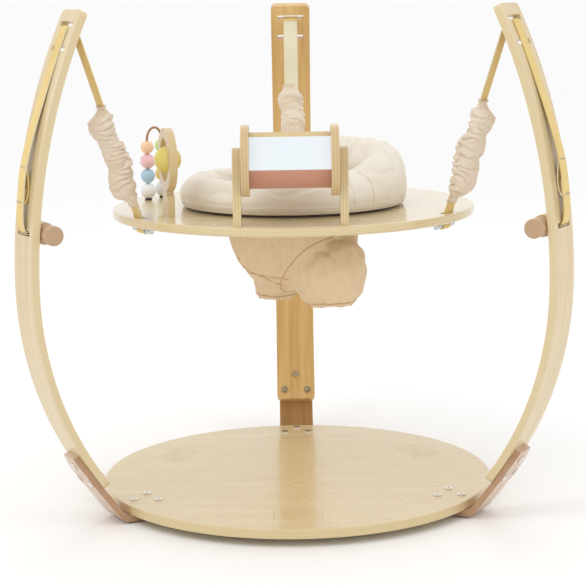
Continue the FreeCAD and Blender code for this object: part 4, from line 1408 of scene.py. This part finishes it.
        pleat = crease(np.stack([round_x * 4.6 + swirl, round_y * 4.6 + swirl, radius * 7], 1), 3.0, 1.0)
        gather = crease(np.stack([round_x * 11 + swirl, round_y * 11, radius * 12], 1), 8.0, 1.0)
        bent = flat * np.array([1.0, 1.0, 1.7]) + 0.012 * wavy(flat, 4.0, 0.05)[:, None]
        drag = crease(bent, 21.0, 0.075)
        fold_height = 0.019 + 0.006 * wavy(np.stack([round_x, round_y, round_x * 0], 1), 2.0, 0.7)
        fold = np.exp(-((z - fold_height) / 0.0032) ** 2) * outer
        amount = -inward * (6.8 * (pleat ** 9 - 0.12) + 3.0 * (gather ** 6 - 0.2))
        amount += upper * 4.2 * (wavy(flat, 5.0, 0.075) - (drag ** 10 - 0.1))
        amount -= 2.6 * fold * (0.6 + 0.8 * wavy(flat, 9.0, 0.06))
        points = points + vertex_normals(collar) * (amount * MM)[:, None]
        flat, radius, _ = around_seat(points)
        limit = np.where(flat[:, 2] < 20 * MM, self.foot + 2 * MM, self.foot + 4 * MM)
        pull = np.minimum(1.0, limit / radius)
        points[:, 0] = AXIS.x + flat[:, 0] * pull
        points[:, 1] = AXIS.y + flat[:, 1] * pull
        points[:, 2] = np.maximum(points[:, 2], TRAY_TOP + self.lift - 0.6 * MM)
        set_corners(collar, points)

    def collar_point(self, tree: BVHTree, bearing: float, height: float, lift: float) -> Vector:
        """Give the point on the collar's outer side at a bearing and height, lifted off it a little."""
        ahead = level_way(bearing)
        origin = Vector((AXIS.x, AXIS.y, TRAY_TOP + height)) + ahead * 0.25
        return tree.ray_cast(origin, -ahead, 0.4)[0] + ahead * lift

    def collar_seams(self, collar: bpy.types.Object) -> list[bpy.types.Object]:
        """Sew the collar's lower edge binding, its stitches and the upright closing seams.

        Args:
            collar: The settled collar.

        Returns:
            The thread and piping pieces.
        """
        tree = surface_tree(collar)
        made = []
        for name, height, size, sides in (("collar_piping", 5.5 * MM, 1.3 * MM, 8),
                                          ("collar_fell", 13.5 * MM, 0.55 * MM, 6)):
            line = [self.collar_point(tree, bearing, height, size * 0.15)
                    for bearing in np.linspace(0, math.tau, 420, endpoint=False)]
            made.append(tube(name, line, size, sides, loop=True))
        made.append(self.stitches("collar_stitches", tree, 10 * MM))
        for n, bearing in enumerate(math.radians(turn) for turn in (301, 313, 138)):
            ahead = level_way(bearing)
            middle = Vector((AXIS.x, AXIS.y, TRAY_TOP + 12 * MM)) + ahead * 0.14
            line = []
            for lean in np.radians(np.linspace(4, 78, 46)):
                toward = ahead * math.cos(lean) + UP * math.sin(lean)
                line.append(tree.ray_cast(middle + toward * 0.2, -toward, 0.4)[0] + toward * (0.02 * MM))
            made.append(tube(f"collar_closing_seam_{n}", line, 0.6 * MM, 6))
        return made

    def stitches(self, name: str, tree: BVHTree, height: float) -> bpy.types.Object:
        """Sew one row of short stitches round the collar at a height above the tray.

        Args:
            name: Piece name.
            tree: The collar's surface.
            height: Height of the row.

        Returns:
            All the stitches as one piece.
        """
        parts, count = [], 300
        for n in range(count):
            ends = [self.collar_point(tree, math.tau * (n + share * 0.72) / count, height, lift)
                    for share, lift in ((0.1, -0.05 * MM), (0.5, 0.22 * MM), (0.9, -0.05 * MM))]
            parts.append(tube(f"{name}_{n}", ends, 0.3 * MM, 5))
        return join(name, parts)

    def cuff(self, sign: int) -> list[tuple[Vector, Vector, float]]:
        """Give the rings of a leg cuff from its root to its hem.

        Args:
            sign: 1 for the puffed front right cuff, -1 for the limp rear left one.

        Returns:
            Middle, direction and radius of each ring.
        """
        away = level_way(math.radians(self.back - 90 * sign))
        rings = []
        for reach, drop, dip, radius in (self.puffed_cuff if sign > 0 else self.limp_cuff):
            lean = math.radians(dip)
            middle = AXIS + away * (reach * MM) + UP * (TRAY_TOP - self.leg_drop - drop * MM)
            rings.append((middle, away * math.cos(lean) - UP * math.sin(lean), radius * MM))
        return rings

    def closed_form(self, name: str, rings: list[np.ndarray]) -> bpy.types.Object:
        """Skin a stack of rings into a closed form for the bag."""
        table = np.array(rings)
        cols = table.shape[1]
        return loft(name, table, np.linspace(0, 1, cols + 1), np.linspace(0, 1, len(table)),
                    closed_ends=True)

    def bag(self) -> bpy.types.Object:
        """Sew the bag and its two leg cuffs, and let the cloth hang.

        Returns:
            The bag as one thin sheet, undressed.
        """
        cols = 96
        turn = np.linspace(0, math.tau, cols, endpoint=False)
        guides = [(self.mouth_radius, self.lift + 10 * MM), (self.mouth_radius, -14 * MM),
                  (self.mouth_radius, -30 * MM), (106.5 * MM, -48 * MM), (self.hip - 3 * MM, -62 * MM),
                  (90 * MM, -82 * MM), (77 * MM, -98 * MM), (self.waist + 4 * MM, -114 * MM),
                  (self.waist - 10 * MM, -125 * MM), (26 * MM, -133 * MM), (4 * MM, -135 * MM)]
        line = smooth_line([Vector((r, TRAY_TOP + z, 0)) for r, z in guides], 6 * MM)
        parts = [self.closed_form("bag_hips", [
            np.stack([AXIS.x + p.x * np.cos(turn), AXIS.y + p.x * np.sin(turn), np.full(cols, p.y)], 1)
            for p in line])]
        for sign in (1, -1):
            rings = []
            for middle, ahead, radius in self.cuff(sign):
                first = (UP - ahead * ahead.z).normalized()
                second = ahead.cross(first)
                rings.append(np.array([middle + radius * (math.cos(a) * first + math.sin(a) * second)
                                       for a in turn]))
            parts.append(self.closed_form(f"bag_leg_{sign}", rings))
        bag = join("seat_bag", parts)
        whole = bag.modifiers.new("whole", "REMESH")
        whole.mode, whole.voxel_size, whole.use_smooth_shade = "VOXEL", 3.6 * MM, True
        calm = bag.modifiers.new("calm", "SMOOTH")
        calm.factor, calm.iterations = 0.5, 3
        apply_modifiers(bag)
        shell = bmesh.new()
        shell.from_mesh(bag.data)
        hems = (self.cuff(1)[-1], self.cuff(-1)[-1])
        doomed = []
        for face in shell.faces:
            middle = face.calc_center_median()
            lost = middle.z > TRAY_TOP + self.lift + 4 * MM
            for end, ahead, radius in hems:
                beyond = (middle - end).dot(ahead)
                lost = lost or (beyond > -2.5 * MM
                                and (middle - end - ahead * beyond).length < radius + 6 * MM)
            if lost:
                doomed.append(face)
        bmesh.ops.delete(shell, geom=doomed, context="FACES")
        for end, ahead, radius in hems:
            for corner in shell.verts:
                beyond = (corner.co - end).dot(ahead)
                if (corner.is_boundary and abs(beyond) < 9 * MM
                        and (corner.co - end).length < radius + 12 * MM):
                    corner.co -= ahead * (beyond + 3.5 * MM)
        shell.to_mesh(bag.data)
        shell.free()
        return self.hang_bag(bag)

    def hang_bag(self, bag: bpy.types.Object) -> bpy.types.Object:
        """Wrinkle the bag, let it hang from the collar, and give the cloth its thickness.

        Args:
            bag: The bag as a single layer.

        Returns:
            The same bag, with thickness and a flat pattern.
        """
        points = corners(bag)
        z, turn = points[:, 2], around_seat(points)[2]
        free = np.clip((TRAY_TOP - 0.018 - z) / 0.02, 0, 1)
        hang = wavy(np.stack([np.cos(turn) * 5, np.sin(turn) * 5, z * 7], 1), 2.0, 1.0)
        soft = wavy(points, 6.0, 0.045)
        crease = 1 - np.abs(wavy(points * np.array([1.0, 1.0, 0.45]), 11.0, 0.024))
        amount = 0.0032 * hang + 0.0035 * soft + 0.0030 * (crease ** 4 - 0.35)
        for sign in (1, -1):
            middle, ahead, radius = self.cuff(sign)[3]
            rel = points - np.array(middle)
            run = rel @ np.array(ahead)
            up = np.array((UP - ahead * ahead.z).normalized())
            spin = np.arctan2(rel @ np.cross(np.array(ahead), up), rel @ up)
            far = np.linalg.norm(rel, axis=1)
            on_leg = np.clip((run + 0.03) / 0.02, 0, 1) * np.clip((radius * 1.25 - far) / 0.01, 0, 1)
            pleats = np.abs(np.sin(spin * 4.5 + 2.5 * wavy(points, 14.0, 0.05))) ** 0.6
            amount += on_leg * 0.0026 * (pleats - 0.7)
        set_corners(bag, points + vertex_normals(bag) * (amount * free)[:, None])
        held = np.where(z > TRAY_TOP - 20 * MM, 1.0, 0.0)
        relax_cloth(bag, held, pressure=0.6, cap=8 * MM, weight=0.35, stiffness=6.0)
        layer = bag.data.uv_layers.new(name="cloth")
        points = corners(bag)
        turn = around_seat(points)[2]
        loops = np.empty(len(bag.data.loops), np.int32)
        bag.data.loops.foreach_get("vertex_index", loops)
        flat = np.stack([turn[loops] * self.pattern_radius, points[loops, 2]], 1)
        starts = np.empty(len(bag.data.polygons), np.int32)
        totals = np.empty(len(bag.data.polygons), np.int32)
        bag.data.polygons.foreach_get("loop_start", starts)
        bag.data.polygons.foreach_get("loop_total", totals)
        for start, total in zip(starts, totals):
            row = flat[start:start + total, 0]
            if row.max() - row.min() > 0.25:
                row[row < 0] += math.tau * self.pattern_radius
        layer.data.foreach_set("uv", flat.ravel())
        thicken(bag, 1.1 * MM)
        subdivide(bag)
        return bag

    def bag_seams(self, bag: bpy.types.Object) -> list[bpy.types.Object]:
        """Sew the seam round each leg cuff, the seam under the hips and the leg hems.

        Args:
            bag: The hanging bag.

        Returns:
            The seam pieces.
        """
        tree = surface_tree(bag)
        made = []
        for sign, side in ((1, "front_right"), (-1, "rear_left")):
            rings = self.cuff(sign)
            for name, (middle, ahead, radius), back, wave, size in (
                    ("cuff_seam", rings[2], 0.0, 13 * MM, 0.9 * MM),
                    ("leg_hem", rings[-1], 5.5 * MM, 0.0, 1.2 * MM)):
                up = (UP - ahead * ahead.z).normalized()
                across = ahead.cross(up)
                line = []
                for angle in np.linspace(0, math.tau, 150, endpoint=False):
                    spoke = up * math.cos(angle) + across * math.sin(angle)
                    run = wave * math.cos(angle) + wave * 0.2 * math.sin(angle * 2 + 0.6) - back
                    origin = middle + ahead * run + spoke * (radius + 45 * MM)
                    hit = tree.ray_cast(origin, -spoke, 85 * MM)[0]
                    if hit is not None:
                        line.append(hit + spoke * (0.2 * MM))
                even = np.array(line)
                for _ in range(3):
                    even = (np.roll(even, 1, 0) + 2 * even + np.roll(even, -1, 0)) / 4
                made.append(tube(f"{name}_{side}", [Vector(p) for p in even], size, 7, loop=True))
        line = []
        for bearing in np.radians(np.linspace(172, 262, 90)):
            ahead = level_way(bearing)
            origin = Vector((AXIS.x, AXIS.y, TRAY_TOP - 0.101 - 0.012 * (bearing - 3.0) / 1.6)) + ahead * 0.13
            hit = tree.ray_cast(origin, -ahead, 0.12)[0]
            if hit is not None:
                line.append(hit + ahead * (0.2 * MM))
        made.append(tube("hips_seam", line, 0.9 * MM, 6))
        return made

    def tab(self) -> bpy.types.Object:
        """Fold a strip of twill tape into the small loop on the collar's side.

        Returns:
            The tab, undressed.
        """
        low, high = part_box("seat_tab")
        middle = (low + high) / 2
        start, tip = low.x - 1 * MM, high.x - 0.6 * MM
        guides = [(start, 5.5), (middle.x, 5.0), (tip - 1.2 * MM, 3.0), (tip, 0.0), (tip - 1.2 * MM, -3.0),
                  (middle.x, -4.8), (start, -5.2)]
        line = smooth_line([Vector((x, middle.y, middle.z + rise * MM)) for x, rise in guides], 0.6 * MM)
        tape = Webbing(width=8.6 * MM, thickness=0.9 * MM)
        return tape.strip("seat_side_tab", line, Vector((0, 1, 0)), True)

    def build(self, materials: dict[str, bpy.types.Material]) -> None:
        """Make, dress and place the whole seat.

        Args:
            materials: Finished materials by name.
        """
        collar = dress(self.collar(), materials["collar_canvas"])
        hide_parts("seat_collar")
        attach(collar, "seat")
        LOG.info("collar sewn")
        for piece in self.collar_seams(collar):
            dress(piece, materials["collar_thread"])
            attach(piece, "seat")
        bag = dress(self.bag(), materials["bag_cotton"])
        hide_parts("seat_pouch")
        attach(bag, "seat")
        for piece in self.bag_seams(bag):
            dress(piece, materials["bag_thread"])
            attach(piece, "seat")
        tab = dress(self.tab(), materials["tab_twill"], materials["tab_twill"])
        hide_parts("seat_tab")
        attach(tab, "seat")


# Wood, metal and toys carried over from the CAD model

def grain(light: Triple, dark: Triple, ply_light: Triple = (238, 222, 182),
          ply_dark: Triple = (203, 170, 112), **looks: float) -> BoardGrain:
    """Give a board's grain from 0-255 display colours.

    Args:
        light: Light streaks of the face.
        dark: Dark streaks of the face.
        ply_light: Light layers of the edge.
        ply_dark: Dark layers of the edge.
        **looks: Roughness, coat, grain_scale or contrast, where they differ.

    Returns:
        The grain.
    """
    return BoardGrain(linear(*light), linear(*dark), linear(*ply_light), linear(*ply_dark), **looks)


def centre(node: str) -> Vector:
    """Give the middle of a CAD node's box."""
    low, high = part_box(node)
    return (low + high) / 2


@dataclass
class Finishes:
    """Every finish of the jumper, written once and handed to the pieces."""

    curve: PostCurve
    ring_turn: float = math.radians(105)

    def cloths(self) -> dict[str, bpy.types.Material]:
        """Write the cloths and threads.

        Returns:
            Materials by name.
        """
        plain, ribbed = Weave.plain, Weave.ribbed
        recipes = (("webbing_cream", (232, 226, 200), (214, 202, 168), 1.3, 0.22, ribbed, 0.2),
                   ("webbing_gold", (236, 210, 142), (216, 182, 108), 1.3, 0.22, ribbed, 0.2),
                   ("sleeve_cotton", (235, 223, 206), (216, 195, 167), 0.8, 0.12, plain, 0.35),
                   ("collar_canvas", (240, 234, 222), (228, 218, 200), 0.9, 0.14, plain, 0.35),
                   ("collar_thread", (228, 217, 196), (204, 187, 160), 0.5, 0.10, plain, 0.35),
                   ("bag_cotton", (231, 208, 174), (215, 187, 148), 0.8, 0.12, plain, 0.35),
                   ("bag_thread", (206, 174, 134), (184, 150, 112), 0.5, 0.10, plain, 0.35),
                   ("tab_twill", (158, 110, 78), (118, 78, 52), 0.9, 0.20, ribbed, 0.35),
                   ("elastic_braid", (236, 231, 220), (205, 196, 178), 1.6, 0.30, ribbed, 0.35))
        return {name: Cloth(name, linear(*light), linear(*dark), pitch * MM, depth * MM, weave,
                            sheen).material()
                for name, light, dark, pitch, depth, weave, sheen in recipes}

    def posts(self) -> None:
        """Finish the posts and their brackets, whose layers follow the same arcs."""
        curve = self.curve
        birch = grain((226, 207, 168), (208, 184, 138), (227, 210, 170), (203, 177, 128), contrast=0.6)
        honey = grain((226, 192, 132), (206, 166, 104), (212, 176, 116), (188, 144, 84))
        veneer = grain((214, 188, 164), (192, 156, 126), (190, 152, 118), (158, 116, 80), contrast=0.9)
        umber = grain((178, 138, 86), (156, 112, 62), (170, 128, 78), (140, 98, 56), contrast=0.9)
        for post in Post:
            post_grain, bracket_grain = (honey, umber) if post is Post.rear else (birch, veneer)
            for node, wood, thickness, layers, figure in (
                    ("post", "birch_laminate", curve.thickness, 9, post_grain),
                    ("bracket", "beech_veneer", 10 * MM, 7, bracket_grain)):
                dress_node(f"{node}_{post.name}", BentPlywood(
                    f"{wood}_{post.name}", thickness, layers, figure, post, curve.reach, curve.height,
                    curve.lower_bend, curve.upper_bend).material())

    def boards(self) -> None:
        """Finish the base, its inlays, the tray and the toys' flat wooden parts."""
        pale = grain((222, 203, 160), (209, 186, 138), (223, 204, 160), (200, 174, 124),
                     roughness=0.30, coat=0.45, contrast=0.45)
        inlay = grain((218, 197, 152), (202, 177, 126), roughness=0.32, coat=0.45, contrast=0.6)
        tray = grain((224, 209, 170), (214, 194, 148), (224, 205, 162), (203, 177, 128),
                     roughness=0.22, coat=0.6, contrast=0.35)
        toy = grain((216, 192, 146), (190, 156, 106), (220, 200, 152), (200, 172, 122),
                    grain_scale=2.2, contrast=0.8)
        cheek = grain((200, 168, 118), (170, 130, 82), (214, 188, 140), (194, 162, 112), grain_scale=1.8)
        up, x_way, y_way = tuple(UP), (1.0, 0.0, 0.0), (0.0, 1.0, 0.0)
        base_low, base_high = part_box("base_disc")
        plug_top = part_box("base_inlay_plugs")[1].z
        boards = [("base_disc", "base_birch", base_high.z - base_low.z, 11, pale, up, x_way, base_high.z),
                  ("base_inlay_plugs", "inlay_birch", 5 * MM, 3, inlay, up, y_way, plug_top),
                  ("tray_disc", "tray_birch", TRAY_TOP - TRAY_LOW.z, 9, tray, up, x_way, TRAY_TOP)]
        for part, figure in (("drum_upright", toy), ("drum_disc", cheek)):
            for node in (f"{part}_left", f"{part}_right"):
                low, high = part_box(node)
                boards.append((node, f"{node}_ply", high.x - low.x, 5, figure, x_way, up, high.x))
        for node, turn in (("drum_board_top", -122), ("drum_board_rear", -212)):
            normal = Vector((0.0, -math.cos(math.radians(turn)), -math.sin(math.radians(turn))))
            outer_face = centre("drum_axle").dot(normal) + 31 * MM
            boards.append((node, f"{node}_ply", 8 * MM, 5, toy, tuple(normal), x_way, outer_face))
        across = (-math.sin(self.ring_turn), math.cos(self.ring_turn), 0.0)
        ring_face = centre("ball_stand").dot(Vector(across)) + 6 * MM
        boards.append(("ball_stand", "ring_ply", 12 * MM, 7, toy, across, up, ring_face))
        for node, *looks in boards:
            dress_node(node, FlatPlywood(*looks).material())

    def small_parts(self) -> None:
        """Finish pegs, axles, beads, paint, metal, rubber and felt."""
        peg, beech = ((208, 178, 146), (186, 150, 114), 0.5), ((224, 192, 140), (198, 158, 102), 0.45)
        walnut = ((88, 54, 36), (52, 30, 20), 0.5)
        woods = [(f"toggle_dowel_{post.name}", f"peg_beech_{post.name}", post.side, peg) for post in Post]
        woods += [("drum_axle", "drum_axle_beech", (1.0, 0.0, 0.0), beech),
                  ("ball_axle", "ball_axle_beech", level_way(self.ring_turn), beech),
                  ("drum_spacers", "walnut_washer", (1.0, 0.0, 0.0), walnut)]
        for node, name, along, (light, dark, roughness) in woods:
            dress_node(node, SolidWood(name, tuple(along), tuple(centre(node)), linear(*light),
                                       linear(*dark), roughness).material())
        beads = {"white_left": (242, 242, 244), "white_right": (242, 242, 244), "blue": (172, 205, 226),
                 "pink": (240, 196, 200), "orange": (246, 206, 170), "yellow": (238, 212, 116),
                 "sand": (232, 208, 170), "green": (198, 228, 130)}
        looks = [((f"bead_{bead}",), PaintedWood(f"bead_{bead}_paint", linear(*colour), 0.42))
                 for bead, colour in beads.items()]
        looks += [
            (("drum_board_front", "drum_board_bottom"),
             PaintedWood("salmon_paint", linear(212, 154, 134), 0.38)),
            (("toy_ball",), PaintedWood("ball_yellow", linear(228, 210, 112), 0.4)),
            (("drum_mirror",), MirrorSheet("mirror_sheet")),
            (("post_bolts", "post_sleeve_nuts", "base_bolts", "base_sleeve_nuts"),
             PlatedMetal("nickel_plate", (0.80, 0.77, 0.72), 0.16)),
            (("strap_stop_bars",), PlatedMetal("zinc_bar", (0.62, 0.63, 0.64), 0.3)),
            (("toy_screws",), PlatedMetal("zinc_screw", (0.60, 0.60, 0.58), 0.32)),
            (("bead_wire",),
             PlatedMetal("brown_wire", linear(176, 128, 84), 0.3, 0.35, (500.0, 500.0, 500.0))),
            (("wire_grommets",), MouldedPlastic("black_grommet", (0.018, 0.018, 0.018))),
            (("seat_ring", "seat_retainer"), MouldedPlastic("seat_ring_plastic", (0.045, 0.040, 0.036))),
            (("foot_pads",), Felt("dark_felt", (0.05, 0.045, 0.04)))]
        for nodes, look in looks:
            material = look.material()
            for node in nodes:
                dress_node(node, material)

    def build(self) -> dict[str, bpy.types.Material]:
        """Finish every carried-over part.

        Returns:
            The cloths and threads by name, for the sewn pieces.
        """
        self.posts()
        self.boards()
        self.small_parts()
        cloths = self.cloths()
        dress_node("elastic_cores", cloths["elastic_braid"])
        LOG.info("wood, paint, metal and cloth finished")
        return cloths


# Studio

@dataclass(frozen=True)
class Studio:
    """Camera, plain pale floor and soft light."""

    stand: Triple = (-0.0027, -2.9095, 0.8237)
    down: float = 9.847
    roll: float = -0.895
    lens: float = 107.46
    target: Triple = (0.0, -0.07, 0.42)
    floor_size: float = 240.0

    def camera(self) -> None:
        """Set the camera at eye height in front of the jumper."""
        data = bpy.data.cameras.new("studio_camera")
        data.lens, data.sensor_width = self.lens, 36.0
        data.clip_start, data.clip_end = 0.05, 500.0
        camera = bpy.data.objects.new("studio_camera", data)
        dip, lean = math.radians(self.down), math.radians(self.roll)
        back = Vector((0, -math.cos(dip), math.sin(dip)))
        right, up = Vector((1, 0, 0)), Vector((0, math.sin(dip), math.cos(dip)))
        axes = (math.cos(lean) * right + math.sin(lean) * up,
                -math.sin(lean) * right + math.cos(lean) * up, back)
        camera.matrix_world = Matrix(axes).transposed().to_4x4()
        camera.location = self.stand
        bpy.context.scene.collection.objects.link(camera)
        bpy.context.scene.camera = camera

    def light(self, name: str, at: Triple, size: float, power: float,
              tint: Colour = (1.0, 1.0, 1.0)) -> None:
        """Hang a soft square light that faces the jumper.

        Args:
            name: Its name.
            at: Where it hangs.
            size: Side length.
            power: Watts.
            tint: Colour.
        """
        data = bpy.data.lights.new(name, "AREA")
        data.size, data.energy, data.color = size, power, tint
        lamp = bpy.data.objects.new(name, data)
        lamp.location = at
        toward = Vector(self.target) - Vector(at)
        lamp.rotation_euler = toward.to_track_quat("-Z", "Y").to_euler()
        bpy.context.scene.collection.objects.link(lamp)

    def build(self) -> None:
        """Set up the whole studio."""
        self.camera()
        square = np.array([(-1, -1, 0), (1, -1, 0), (1, 1, 0), (-1, 1, 0)]) * self.floor_size
        floor = make_mesh("studio_floor", square, [(0, 1, 2, 3)], smooth=False)
        pale = Shader("studio_floor")
        cloud = pale.noise(pale.body, 0.6, 2.0)
        colour = pale.mix(cloud, (0.955, 0.955, 0.955), (0.97, 0.97, 0.97))
        dress(floor, pale.finish(Base_Color=colour, Roughness=0.8, Specular_IOR_Level=0.1))
        world = bpy.data.worlds.new("studio_air")
        bpy.context.scene.world = world
        world.use_nodes = True
        air = next(n for n in world.node_tree.nodes if n.type == "BACKGROUND")
        air.inputs["Color"].default_value = (1.0, 1.0, 1.0, 1.0)
        air.inputs["Strength"].default_value = 1.0
        self.light("key_light", (-1.3, -1.6, 2.9), 1.4, 13.0, (1.0, 0.985, 0.96))
        self.light("fill_light", (2.2, -1.4, 1.9), 1.8, 3.0)
        self.light("rim_light", (0.6, 2.4, 2.4), 1.6, 5.0)
        view = bpy.context.scene.view_settings
        view.view_transform = "Standard"
        view.look = "None"


def main() -> None:
    """Build the studio and every piece of the jumper in order."""
    logging.basicConfig(level=logging.INFO, format="%(name)s: %(message)s")
    Studio().build()
    curve = PostCurve()
    cloths = Finishes(curve).build()
    hangers = Hangers(curve, Webbing())
    hangers.build(cloths)
    for post, seam, seed in ((Post.rear, 2.6, 1.0), (Post.front_left, -1.1, 2.0),
                             (Post.front_right, -2.0, 3.0)):
        RuchedSleeve(post, seam, seed).build(hangers, cloths)
        LOG.info("sleeve of the %s post gathered", post.name)
    Seat().build(cloths)


if __name__ == "__main__":
    main()
